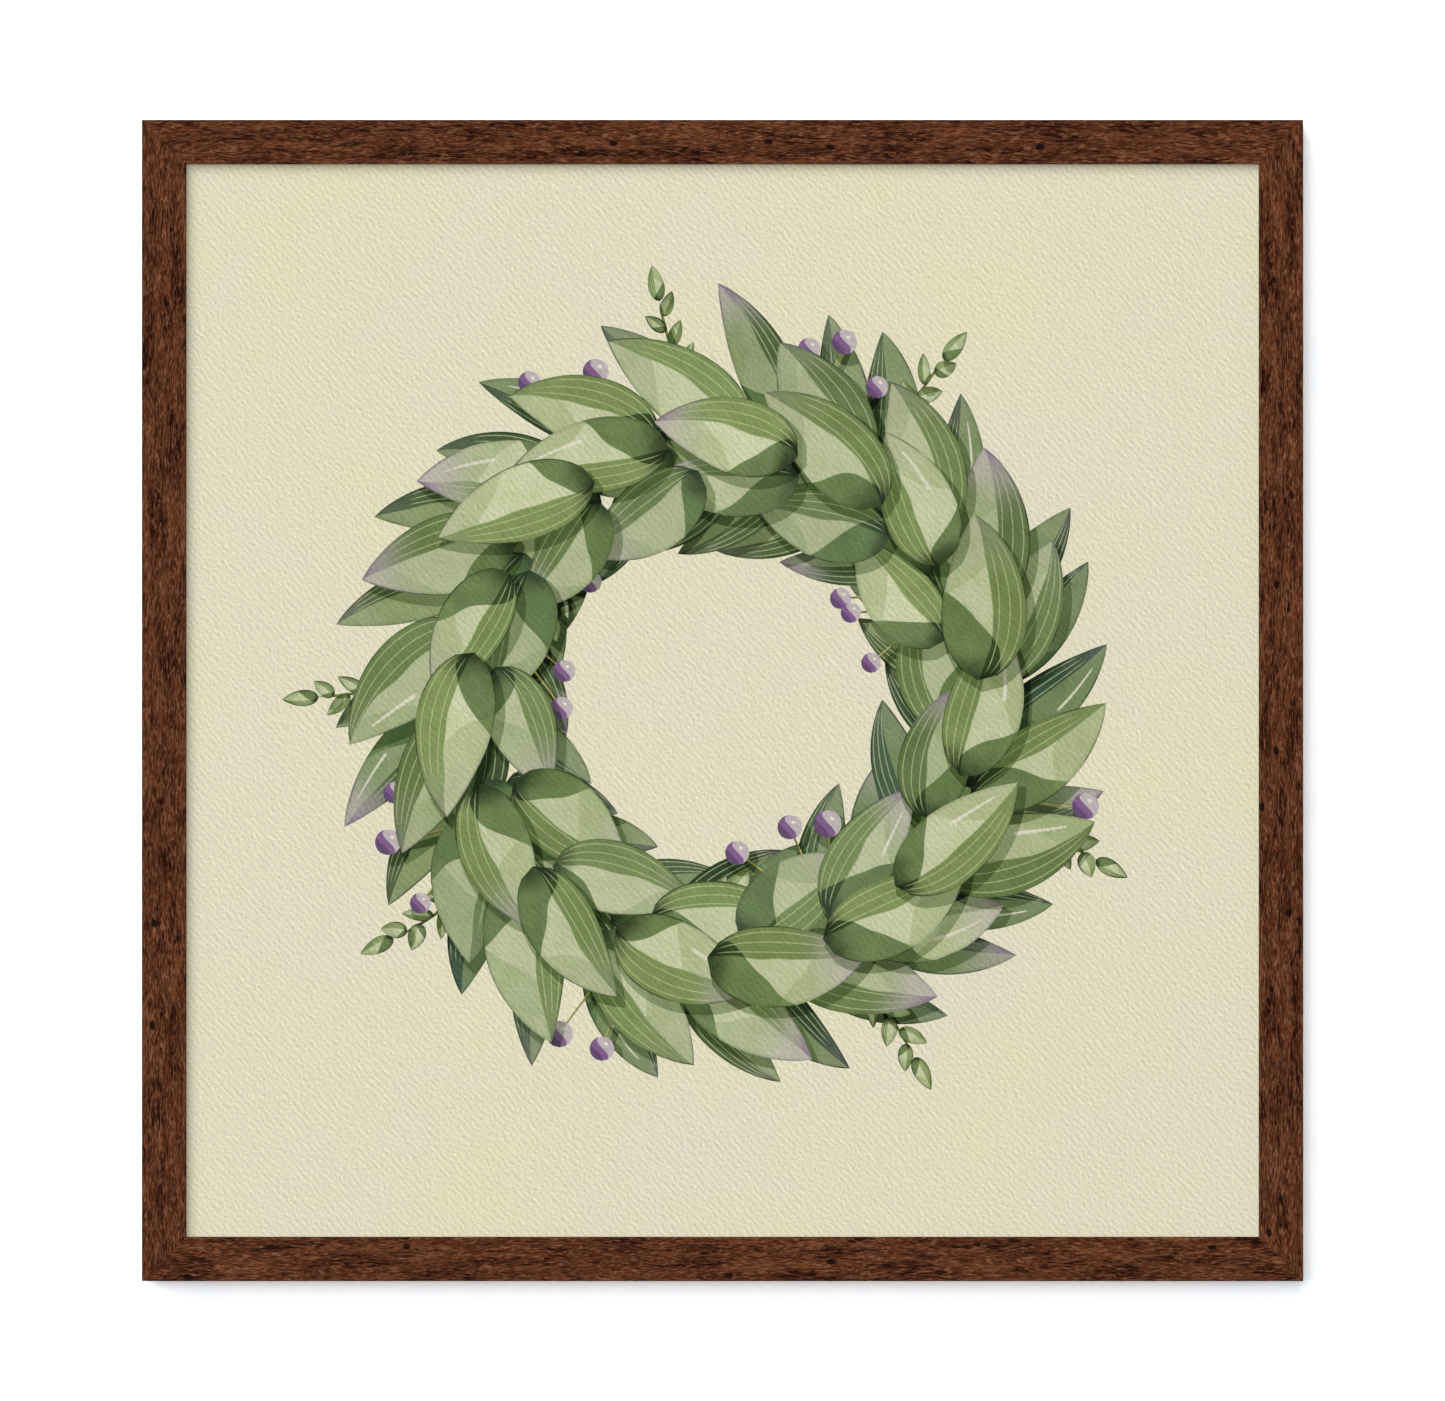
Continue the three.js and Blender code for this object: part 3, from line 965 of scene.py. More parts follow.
def rows_on_sides() -> Builder:
    """Makes the tree that sets copies in a row and repeats the row on sides of a square.

    Each copy is turned by the row's turn from the one before.

    Returns:
        The tree.
    """
    vectors = dict.fromkeys(("Row_Start", "Row_Step", "Row_Turn", "Middle"), "Vector")
    b = Builder("rows_on_sides", Row_Count="Int", Sides="Int", **vectors)
    given, index = b.given, b.add("GeometryNodeInputIndex")

    def copies(count: Value, start: Value, step: Value | Point, copied: Value, turn: Value) -> Value:
        """Sets copies on the points of a line.

        Args:
            count: How many there are.
            start: Where the first is.
            step: The way from each to the next.
            copied: What is copied.
            turn: How each is turned.

        Returns:
            The copies.
        """
        line = b.add("GeometryNodeMeshLine", {"Count": count, "Start Location": start, "Offset": step})
        inputs = {"Points": line, "Instance": copied, "Rotation": turn}
        return b.add("GeometryNodeInstanceOnPoints", inputs)

    twist = b.scaled(given["Row Turn"], b.vector(index, index, index))
    row = copies(given["Row Count"], given["Row Start"], given["Row Step"], given["Geometry"], twist)
    quarter = b.vector(0.0, index * (-math.pi / 2))
    return b.close(copies(given["Sides"], given["Middle"], (0, 0, 0), row, quarter))


def swept_wire() -> Builder:
    """Makes the tree that turns the edges of a path to round wire.

    Returns:
        The tree.
    """
    b = Builder("swept_wire", Wire_Radius="Float", Wire_Sides="Int")
    path = b.add("GeometryNodeMeshToCurve", {"Mesh": b.given["Geometry"]})
    circle = b.add(
        "GeometryNodeCurvePrimitiveCircle",
        {"Resolution": b.given["Wire Sides"], "Radius": b.given["Wire Radius"]},
        mode="RADIUS",
    )
    return b.close(b.add("GeometryNodeCurveToMesh", {"Curve": path, "Profile Curve": circle}))


# ---- The frame's own sizes ----------------------------------------------------------------


class Side(Enum):
    """A side of the square, by its quarter turns from the top."""

    TOP = 0
    LEFT = 1
    BOTTOM = 2
    RIGHT = 3


@dataclass(frozen=True)
class Layout:
    """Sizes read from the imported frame, in millimetres. The backs of the rails are at y = 0."""

    half: float  # half the outer size
    middle_z: float
    front: float  # y of the rails' faces
    face_width: float
    lip_back: float  # y of the back of the lip
    rebate_half: float
    pack_back: float  # y of the back of the backing board

    @classmethod
    def measure(cls, sheet_play: float = 1.0, face_gap: float = 0.1) -> Layout:
        """Reads the sizes from the rails, the glazing and the backing board.

        Args:
            sheet_play: How far the sheets are from the rebate's walls.
            face_gap: How far the glazing is from the lip.

        Returns:
            The sizes.
        """
        (bottom_low, _), (top_low, top_high), (glazing_low, glazing_high), (_, board_high) = (
            [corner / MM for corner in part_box(node)]
            for node in ("rail_bottom", "rail_top", "glazing", "backing_board")
        )
        return cls(
            half=(top_high.z - bottom_low.z) / 2,
            middle_z=(top_high.z + bottom_low.z) / 2,
            front=top_low.y,
            face_width=top_high.z - top_low.z,
            lip_back=glazing_low.y - face_gap,
            rebate_half=glazing_high.x + sheet_play,
            pack_back=board_high.y,
        )

    @property
    def middle(self) -> Vector:
        """The middle of the picture in metres, level with the backs of the rails."""
        return Vector((0, 0, self.middle_z * MM))

    def turned(self, quarter: int) -> Matrix:
        """What takes a piece made about the middle, for the top side, some quarter turns on."""
        return Matrix.Translation(self.middle) @ Matrix.Rotation(-quarter * math.pi / 2, 4, "Y")


# ---- Fastenings of the frame --------------------------------------------------------------


@dataclass
class VNails:
    """Steel V-nails across the mitres, seen on edge from behind. Millimetres."""

    layout: Layout
    apexes: Pair = (3.2, 8.2)  # from the outer edges in to the bend
    leg: float = 4.5
    thickness: float = 0.6
    height: float = 7.0
    sunk: float = 0.3
    gap: float = 0.3
    bend: float = 0.55  # its inner radius
    nick: float = 0.12  # what the legs' edges are cut back by
    bevel: float = 1.3  # how tall the sharpened part is
    sharp_share: float = 0.25  # how much of the thickness is left at its edge

    def slots(self, corner: int) -> list[bpy.types.Object]:
        """Makes the slots for a corner's two nails.

        Args:
            corner: The corner, by its quarter turns from the top right one.

        Returns:
            The cutters.
        """
        outer, cutters = self.layout.half, []
        ends = (-self.sunk - self.height - self.gap, 1.0)
        for apex in self.apexes:
            near, web = apex - self.thickness / 2 - self.gap, apex + self.thickness / 2 + self.gap
            far = apex + self.leg + self.gap
            plan = [(near, near), (near, far), (web, far), (web, web), (far, web), (far, near)]
            rings = [[(outer - x, y, outer - z) for x, z in plan] for y in ends]
            cutters.append(solid("v_nail_slot", *loft(rings)))
            cutters[-1].data.transform(self.layout.turned(corner))
        return cutters

    def plan(self) -> list[Pair]:
        """The outline of a nail seen from behind, with its bend at the origin.

        Returns:
            The outline's points.
        """
        half, leg, bend, nick = self.thickness / 2, self.leg, self.bend, self.nick
        inside = arc((half + bend, half + bend), bend, 270, 180, 5)
        outside = arc((bend, bend), bend + half, 180, 270, 6)
        first = [(half, leg - nick), (half - nick, leg), (nick - half, leg), (-half, leg - nick)]
        second = [(leg - nick, -half), (leg, nick - half)]
        return [(leg, half - nick), (leg - nick, half), *inside, *first, *outside, *second]

    def nail(self) -> bpy.types.Object:
        """Makes one nail: two legs, sharpened towards the front.

        Returns:
            The nail, with its bend at the origin.
        """
        sharp, shoulder = (self.sharp_share, -self.height), (1.0, self.bevel - self.height)
        rings = []
        for share, y in (sharp, shoulder, (1.0, -0.1), (0.82, 0.0)):
            ring = []
            for x, z in self.plan():
                on_x, on_z = (x, 0.0) if x > z else (0.0, z)
                ring.append((-on_x - (x - on_x) * share, y - self.sunk, -on_z - (z - on_z) * share))
            rings.append(ring)
        return solid("v_nails", *loft(rings))

    def build(self, rows: Builder, finish: bpy.types.Material) -> None:
        """Makes the eight nails, two to a corner.

        Args:
            rows: The tree that repeats them.
            finish: Their material.
        """
        nails = self.nail()
        start, step = (self.layout.half - self.apexes[0]) * MM, (self.apexes[0] - self.apexes[1]) * MM
        rows.run(nails, Row_Start=(start, 0.0, start), Row_Step=(step, 0.0, step), Row_Count=2,
                 Sides=4, Middle=tuple(self.layout.middle), Finish=finish)
        corners = ("top_right", "top_left", "bottom_left", "bottom_right")
        nodes = [f"v_nail_{corner}_{place}" for corner in corners for place in ("outer", "inner")]
        take_over(nails, "frame", "spring_steel", *nodes)


@dataclass
class FlexPoints:
    """Spring steel tabs driven into the rebate walls, which hold the boards in. Millimetres."""

    layout: Layout
    places: tuple[float, ...] = (-170.0, 0.0, 170.0)  # along a side
    width: float = 9.0
    thickness: float = 0.6
    driven: float = 6.5
    shown: float = 13.5
    spear: float = 3.5  # length of the pointed part
    spear_half: float = 0.35  # half the width of its tip
    gap: float = 0.3
    dip: float = 0.22  # how far it is bent down onto the board
    dip_end: float = 9.0  # from the wall to where its end starts to rise
    curl: float = 0.085
    rib: float = 0.22
    rib_place: float = 11.8  # from the tip
    rib_half: float = 3.4

    def slots(self, quarter: int) -> list[bpy.types.Object]:
        """Makes the slots for a side's tabs.

        Args:
            quarter: The side, by its quarter turns from the top.

        Returns:
            The cutters.
        """
        front, wall, cutters = self.layout.pack_back, self.layout.rebate_half, []
        back, ends = front + self.thickness + 2 * self.gap, (wall - 1, wall + self.driven + self.gap)
        for x in self.places:
            left, right = x - self.width / 2 - self.gap, x + self.width / 2 + self.gap
            ring = [(left, front), (right, front), (right, back), (left, back)]
            rings = [[(along, y, z) for along, y in ring] for z in ends]
            cutters.append(solid("point_slot", *loft(rings)))
            cutters[-1].data.transform(self.layout.turned(quarter))
        return cutters

    def rise(self, drop: float) -> float:
        """Works out how far a tab bends from flat: down onto the board, then up at its end.

        Args:
            drop: How far along the tab, from its tip.

        Returns:
            How far it is above its level in the wood.
        """
        out = max(0.0, drop - self.driven - 1.0)
        down = self.dip * math.sin(min(1.0, out / self.dip_end) * math.pi / 2)
        return self.curl * max(0.0, out - self.dip_end) ** 2 - down

    def tab(self) -> bpy.types.Object:
        """Makes one tab with a spearhead, a round end and a pressed rib.

        Returns:
            The tab, at the middle of the top side.
        """
        total, half, slim = self.driven + self.shown, self.width / 2, self.spear_half
        pointed = np.linspace(0, self.spear, 6)
        head = [(drop, slim + (half - slim) * drop / self.spear) for drop in pointed]
        body = [(drop, half) for drop in np.linspace(self.spear + 0.4, total - half, 12)]
        end = [(total - half + reach, wide) for wide, reach in arc((0, 0), half, 12, 84, 7)]
        level = self.layout.pack_back + self.gap + self.thickness / 2
        tip = self.layout.rebate_half + self.driven
        stations = []
        for drop, half_width in (*head, *body, *end):
            rib = self.rib * math.exp(-(((drop - self.rib_place) / self.rib_half) ** 4))
            stations.append(Station((level + self.rise(drop), tip - drop), (1.0, 0.0), half_width, rib))
        return strip("flex_points", stations, self.thickness)

    def build(self, rows: Builder, finish: bpy.types.Material) -> None:
        """Makes the twelve tabs, three to a side.

        Args:
            rows: The tree that repeats them.
            finish: Their material.
        """
        tabs = self.tab()
        pitch = (self.places[1] - self.places[0]) * MM
        rows.run(tabs, 50, Row_Start=(self.places[0] * MM, 0.0, 0.0), Row_Step=(pitch, 0.0, 0.0),
                 Row_Count=len(self.places), Sides=4, Middle=tuple(self.layout.middle), Finish=finish)
        nodes = [f"flex_point_{side.name.lower()}_{i}" for side in Side for i in (1, 2, 3)]
        take_over(tabs, "frame", "spring_steel", *nodes)


# ---- Hangers and bumpers ------------------------------------------------------------------


@dataclass
class Hangers:
    """Two strap hangers: a folded strap, a D-ring that swings in its eye, and a screw.

    Millimetres. Each is made about the axis that its ring swings on.
    """

    hinges: Mapping[str, Vector]  # the middle of each ring's axis in metres, by body
    strap_metal: float = 0.8
    strap_play: float = 0.03  # how much thinner the metal is than its place
    strap_width: float = 8.0
    strap_length: float = 28.0
    strap_front: float = -2.9  # y of the face on the wood
    strap_neck: float = 2.6  # from the axis down to where the wood's side leaves the wood
    strap_fold: float = 0.8  # radius of the bend where the eye meets the strap
    eye_radius: float = 1.75  # to the middle of the metal
    wire_radius: float = 1.0
    ring_inner_width: float = 9.5
    ring_inner_height: float = 10.0
    ring_corner: float = 1.5
    screw_drop: float = 20.0
    screw_length: float = 12.0
    screw_turn: float = 0.7  # how far the second screw is turned from the first, in radians
    shank_radius: float = 1.4
    thread_pitch: float = 1.1
    thread_share: float = 0.26  # how much of the shank's radius the thread is
    point_length: float = 3.5
    head_radius: float = 3.25
    recess_arm: float = 0.62  # of the head's radius
    recess_half: float = 0.42
    gap: float = 0.3

    @property
    def strap_back(self) -> float:
        """y of the strap's face under the screw's head."""
        return self.strap_front + 2 * self.strap_metal

    def hole(self, deep: float) -> bpy.types.Object:
        """Makes a cutter for the screw's hole.

        Args:
            deep: How far it goes to the front of the hinge.

        Returns:
            The cutter, about the hinge.
        """
        radius = self.shank_radius + self.gap
        cutter = lathe("screw_hole", [(0, -deep), (radius, -deep), (radius, 4.0), (0, 4.0)], 24)
        cutter.data.transform(Matrix.Translation((0, 0, -self.screw_drop * MM)))
        return cutter

    def pilot_hole(self, body: str) -> bpy.types.Object:
        """Makes the cutter for the pilot hole under a hanger.

        Args:
            body: The body of the hanger's ring.

        Returns:
            The cutter, in its place.
        """
        cutter = self.hole(self.screw_length - self.strap_back + self.gap)
        cutter.data.transform(Matrix.Translation(self.hinges[body]))
        return cutter

    def strap_path(self) -> list[Pair]:
        """Draws the middle of the folded metal: up the wood, round the wire, and down again.

        Returns:
            Points as (drop, y).
        """
        front, back = self.strap_front + self.strap_metal / 2, self.strap_back - self.strap_metal / 2
        eye, fold, neck = self.eye_radius, self.strap_fold, self.strap_neck
        end = self.strap_length - self.strap_width / 2
        rounded = [end + reach for _, reach in arc((0, 0), self.strap_width / 2, 6, 84, 8)]
        up = [(drop, front) for drop in (*rounded[::-1], *np.linspace(end - 0.5, neck + 0.4, 8))]
        leaving = [(drop, front + (-eye - front) * (1 - math.cos(math.pi * (neck - drop) / neck)) / 2)
                   for drop in np.linspace(neck, 0.35, 7)]
        loop = arc((0, 0), eye, 268, 0, 26)
        bend = arc((eye + fold, back + fold), fold, 180, 270, 6)
        down = [(drop, back) for drop in (*np.linspace(3.2, end - 0.5, 8), *rounded)]
        return [*up, *leaving, *loop, *bend, *down]

    def straps(self) -> bpy.types.Object:
        """Makes one strap.

        Returns:
            The strap, about its hinge.
        """
        path = np.array(self.strap_path())
        slopes = np.gradient(path, axis=0)
        half, end = self.strap_width / 2, self.strap_length - self.strap_width / 2
        stations = []
        for (drop, y), (ahead, aside) in zip(path, slopes):
            size = math.hypot(ahead, aside)
            half_width = math.sqrt(max(half**2 - max(drop - end, 0.0) ** 2, 0.01))
            stations.append(Station((y, -drop), (-ahead / size, -aside / size), half_width))
        made = strip("hanger_straps", stations, self.strap_metal - self.strap_play)
        carve(made, [self.hole(10.0)], 50)
        return made

    def recess(self, base: float) -> bpy.types.Object:
        """Makes the cutter for the cross in a screw's head.

        Args:
            base: y of the underside of the head.

        Returns:
            The cutter.
        """
        arm, slot = self.recess_arm * self.head_radius, self.recess_half
        cross = [(arm, slot), (slot, slot), (slot, arm), (-slot, arm), (-slot, slot), (-arm, slot)]
        cross += [(-x, -z) for x, z in cross]
        depths = ((1.0, 3.0), (0.98, 2.0), (0.72, 0.8))
        return solid("recess", *loft([[(x * s, base + y, z * s) for x, z in cross] for s, y in depths]))

    def screw(self, sides: int = 32) -> bpy.types.Object:
        """Makes one screw with a pan head, a cross recess and a threaded shank.

        Args:
            sides: How many flat sides its round parts have.

        Returns:
            The screw, with its axis on the hinge.
        """
        shank, head, circle = self.shank_radius, self.head_radius, wheel(sides)
        base = self.strap_back + 0.1
        rings = [[(0.0, base - self.screw_length, 0.0)] * sides]
        for y in np.linspace(0.6 - self.screw_length, -1.0, 56):
            taper = min(1.0, (y + self.screw_length) / self.point_length)
            ring = []
            for i, (x, z) in enumerate(circle):
                turn = (y / self.thread_pitch + i / sides) % 1.0
                thread = self.thread_share * (1 - abs(2 * turn - 1)) ** 1.5
                r = shank * taper * (1 - self.thread_share + thread)
                ring.append((x * r, base + y, z * r))
            rings.append(ring)
        cap = [(head * (0.3 + 0.7 * x), 0.75 + 1.25 * z) for x, z in arc((0, 0), 1.0, 0, 90, 8)]
        edge = [(head - 0.15, 0), (head, 0.15), (head, 0.6)]
        for r, y in ((shank * 0.95, -0.8), (shank, 0), *edge, *cap, (0, 2.0)):
            rings.append([(x * r, base + y, z * r) for x, z in circle])
        made = solid("hanger_screws", *loft(rings))
        carve(made, [self.recess(base)], 40)
        return made

    def ring_path(self, name: str) -> bpy.types.Object:
        """Draws the closed middle line of a hanging ring: a bar through the eye and a round crown.

        Args:
            name: The ring's name.

        Returns:
            The line, about the hinge.
        """
        half, corner = self.ring_inner_width / 2 + self.wire_radius, self.ring_corner
        crown = -(self.ring_inner_height + self.wire_radius - half)
        line = [*arc((corner - half, -corner), corner, 90, 180, 6)]
        line += [(-half, z) for z in np.linspace(-corner - 0.5, crown + 0.5, 4)]
        line += [*arc((0, crown), half, 180, 360, 26)]
        line += [(half, z) for z in np.linspace(crown + 0.5, -corner - 0.5, 4)]
        line += [*arc((half - corner, -corner), corner, 0, 90, 6)]
        line += [(x, 0.0) for x in np.linspace(half - corner - 0.6, corner - half + 0.6, 5)]
        edges = [(i, (i + 1) % len(line)) for i in range(len(line))]
        return linked(name, ([(x, 0.0, z) for x, z in line], edges, []), MM)

    def build(self, rows: Builder, wire: Builder, finish: bpy.types.Material) -> None:
        """Makes both hangers.

        Args:
            rows: The tree that repeats straps and screws.
            wire: The tree that makes wire.
            finish: Their material.
        """
        left, right = self.hinges["ring_left"], self.hinges["ring_right"]
        strap, screw = (self.straps(), 0.0, 0.0), (self.screw(), self.screw_turn, self.screw_drop)
        for made, turn, drop in (strap, screw):
            start = left - Vector((0, 0, drop * MM))
            rows.run(made, 50, Row_Start=tuple(start), Row_Step=tuple(right - left),
                     Row_Turn=(0.0, turn, 0.0), Row_Count=2, Sides=1, Finish=finish)
            kind = made.name.rstrip("s")
            take_over(made, "frame", "plated_steel", f"{kind}_left", f"{kind}_right")
        for body, hinge in self.hinges.items():
            ring = self.ring_path(f"d_{body}")
            wire.run(ring, 60, Wire_Radius=self.wire_radius * MM, Wire_Sides=20, Finish=finish)
            ring.data.transform(Matrix.Translation(hinge))
            take_over(ring, body, "plated_steel", f"hanger_{body}")


@dataclass
class Bumpers:
    """Domed rubber bumpers on the back of the bottom rail. Millimetres."""

    radius: float = 5.0
    height: float = 3.0
    wall_share: float = 0.45  # how much of the height is upright

    def build(self, rows: Builder, finish: bpy.types.Material) -> None:
        """Makes both bumpers.

        Args:
            rows: The tree that repeats them.
            finish: Their material.
        """
        r, wall, cap = self.radius, self.wall_share * self.height, (1 - self.wall_share) * self.height
        dome = [(r * x, wall + cap * y) for x, y in arc((0, 0), 1.0, 8, 90, 9)]
        bumpers = lathe("bumpers", [(0, 0), (r - 0.35, 0), (r, 0.3), (r, wall), *dome])
        low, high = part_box("bumper_left")
        right_low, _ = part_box("bumper_right")
        start = Vector(((low.x + high.x) / 2, low.y, (low.z + high.z) / 2))
        rows.run(bumpers, Row_Start=tuple(start), Row_Step=(right_low.x - low.x, 0.0, 0.0),
                 Row_Count=2, Sides=1, Finish=finish)
        take_over(bumpers, "frame", "black_rubber", "bumper_left", "bumper_right")


# ---- Rails --------------------------------------------------------------------------------


@dataclass
class Moulding:
    """The four mitred rails, cut for what is driven into them. Millimetres."""

    layout: Layout
    nails: VNails
    points: FlexPoints
    hangers: Hangers
    arris: float = 0.4
    back_arris: float = 0.35
    fine_arris: float = 0.25
    flat_start: float = 0.15  # keeps the bend of the shading next to each arris
    foil_wrap: float = 2.4  # how far the finish turns onto the back
    skin_side: float = 0.3  # faces this near a side belong to it
    skin_front: float = 0.9
    skin_back: float = 0.4
    mitre_gap: float = 0.0
    rail_shift: float = 3700.0  # sets each rail elsewhere in the wood's pattern

    def section(self) -> list[Pair]:
        """Draws the rail's outline.

        Returns:
            Points as (distance in from the outer edge, y).
        """
        front, lip = self.layout.front, self.layout.lip_back
        wide, wall = self.layout.face_width, self.layout.half - self.layout.rebate_half
        big, small, fine, start = self.arris, self.back_arris, self.fine_arris, self.flat_start
        return [
            *arc((small, -small), small, 90, 180, 4),
            (0, -small - start),
            (0, front + big + start),
            *arc((big, front + big), big, 180, 270, 8),
            (big + start, front),
            (wide - big - start, front),
            *arc((wide - big, front + big), big, 270, 360, 8),
            (wide, front + big + start),
            (wide, lip - fine - start),
            *arc((wide - fine, lip - fine), fine, 0, 90, 3),
            (wall, lip),
            (wall, -fine - start),
            *arc((wall - fine, -fine), fine, 0, 90, 3),
            (wall - fine - start, 0),
            (self.foil_wrap, 0),
        ]

    def bar(self, side: Side) -> bpy.types.Object:
        """Makes a rail before it is cut.

        Args:
            side: Its side.

        Returns:
            The rail, in its place.
        """
        reach = self.layout.half - self.mitre_gap
        rings = [
            [(end * (reach - inward), y, self.layout.half - inward) for inward, y in self.section()]
            for end in (-1, 1)
        ]
        rail = solid(f"walnut_rail_{side.name.lower()}", *loft(rings), smooth_deg=25)
        rail.data.transform(self.layout.turned(side.value))
        return rail

    def cutters(self, side: Side) -> list[bpy.types.Object]:
        """Makes what is cut out of a rail.

        Args:
            side: Its side.

        Returns:
            The cutters for nails, points and the pilot hole.
        """
        slots = self.nails.slots(side.value) + self.nails.slots((side.value + 1) % 4)
        slots += self.points.slots(side.value)
        if side in (Side.LEFT, Side.RIGHT):
            slots.append(self.hangers.pilot_hole(f"ring_{side.name.lower()}"))
        return slots

    def grain(self, rail: bpy.types.Object, side: Side) -> np.ndarray:
        """Writes the grain attribute.

        Args:
            rail: The rail.
            side: Its side.

        Returns:
            How far each point is along the rail, in from its outer edge, and back from its face.
        """
        places = numbers(rail.data.vertices, "co", 3)
        home = np.array(self.layout.turned(side.value).inverted())
        along, back, up = ((np.c_[places, np.ones(len(places))] @ home.T)[:, :3] / MM).T
        along, inward = along + side.value * self.rail_shift, self.layout.half - up
        grain = np.stack((along, inward, back - self.layout.front), axis=1).astype(np.float32)
        written = rail.data.attributes.new("grain", "FLOAT_VECTOR", "POINT")
        written.data.foreach_set("vector", grain.ravel())
        return grain

    def finish_faces(self, rail: bpy.types.Object, side: Side, grain: np.ndarray) -> None:
        """Gives the second finish to every face that the foil doesn't cover.

        Args:
            rail: The rail.
            side: Its side.
            grain: Its grain attribute.
        """
        deep, wide = -self.layout.front, self.layout.face_width
        lip = self.layout.lip_back - self.layout.front
        axis = self.layout.turned(side.value).to_3x3() @ Vector((1, 0, 0))
        for face in rail.data.polygons:
            _, inward, depth = grain[list(face.vertices)].mean(axis=0)
            covered = (
                inward < self.skin_side
                or depth < self.skin_front
                or (inward > wide - self.skin_side and depth < lip)
                or (inward < self.foil_wrap and depth > deep - self.skin_back)
            )
            cut_end = abs(face.normal @ axis) >= 0.5
            face.material_index = 0 if covered and not cut_end else 1

    def build(self) -> None:
        """Makes, cuts and finishes the rails."""
        foil, pine = WalnutFoil().build(), RawPine().build()
        for side in Side:
            rail = self.bar(side)
            carve(rail, self.cutters(side), 25)
            dress(rail, foil, pine)
            self.finish_faces(rail, side, self.grain(rail, side))
            take_over(rail, "frame", "walnut_rail", f"rail_{side.name.lower()}")


# ---- The print and the boards -------------------------------------------------------------


class Motif(Enum):
    """What a painted shape is, by its number in the stroke_layer attribute."""

    PAPER = 0
    LEAF = 1
    STEM = 2
    BERRY = 3


@dataclass(frozen=True)
class Stroke:
    """One painted shape about a middle line that bends evenly. Millimetres from the sheet's middle."""

    motif: Motif
    base: Pair
    heading_deg: float  # from +X towards +Z
    length: float
    half_width: float
    bend_deg: float = 0.0
    light: float = 0.5
    mauve: float = 0.0
    cool: float = 0.0
    seed: float = 0.5
    steps: int = 20

    def axis(self) -> np.ndarray:
        """Draws the middle line.

        Returns:
            Its points, from the foot to the tip.
        """
        turned = self.bend_deg * (np.arange(self.steps) + 0.5) / self.steps
        headings = np.radians(self.heading_deg + turned)
        hops = np.c_[np.cos(headings), np.sin(headings)] * (self.length / self.steps)
        return np.vstack([self.base, np.cumsum(hops, axis=0) + self.base])

    def widths(self, shares: np.ndarray) -> np.ndarray:
        """Works out half the width.

        Args:
            shares: Where, as shares of the length.

        Returns:
            Half the width at each.
        """
        if self.motif is Motif.BERRY:
            return self.half_width * np.sqrt(np.maximum(1 - (2 * shares - 1) ** 2, 0))
        if self.motif is Motif.STEM:
            return self.half_width * (1 - 0.5 * shares) * np.minimum(1, 12 * (1 - shares)) ** 0.5
        return self.half_width * shares**0.6 * (1 - shares) ** 0.9 / 0.3643

    def outline(self) -> np.ndarray:
        """Draws the edge.

        Returns:
            Its points, anticlockwise.
        """
        axis = self.axis()
        ahead = np.gradient(axis, axis=0)
        aside = np.c_[-ahead[:, 1], ahead[:, 0]] / np.linalg.norm(ahead, axis=1)[:, None]
        reach = aside * self.widths(np.linspace(0, 1, len(axis)))[:, None]
        return np.vstack([axis - reach, (axis + reach)[-2:0:-1]])

    def shade(self, shift: Pair = (2.4, -3.6), grow: float = 1.8) -> Stroke:
        """Draws the slightly larger shape that this one's shade fills.

        Args:
            shift: How far it is to the right and up.
            grow: How far it reaches past this one.

        Returns:
            The shade's shape.
        """
        back = np.radians(self.heading_deg)
        base = (
            self.base[0] + shift[0] - grow * math.cos(back),
            self.base[1] + shift[1] - grow * math.sin(back),
        )
        length, half_width = self.length + 2 * grow, self.half_width + grow
        return replace(self, base=base, length=length, half_width=half_width)

    def coordinates(self, points: np.ndarray) -> np.ndarray:
        """Places points on the shape.

        Args:
            points: The points.

        Returns:
            Each point's share along, distance across and half the width there.
        """
        axis = self.axis()
        start, hop = axis[:-1], np.diff(axis, axis=0)
        offset = points[:, None, :] - start[None, :, :]
        share = np.clip((offset * hop).sum(2) / (hop * hop).sum(1), 0, 1)
        miss = offset - share[..., None] * hop
        nearest = np.argmin((miss * miss).sum(2), axis=1)
        rows = np.arange(len(points))
        along = (nearest + share[rows, nearest]) / self.steps
        step, gap = hop[nearest], miss[rows, nearest]
        side = np.sign(step[:, 0] * gap[:, 1] - step[:, 1] * gap[:, 0])
        across = side * np.linalg.norm(gap, axis=1)
        return np.c_[along, across, self.widths(along)]


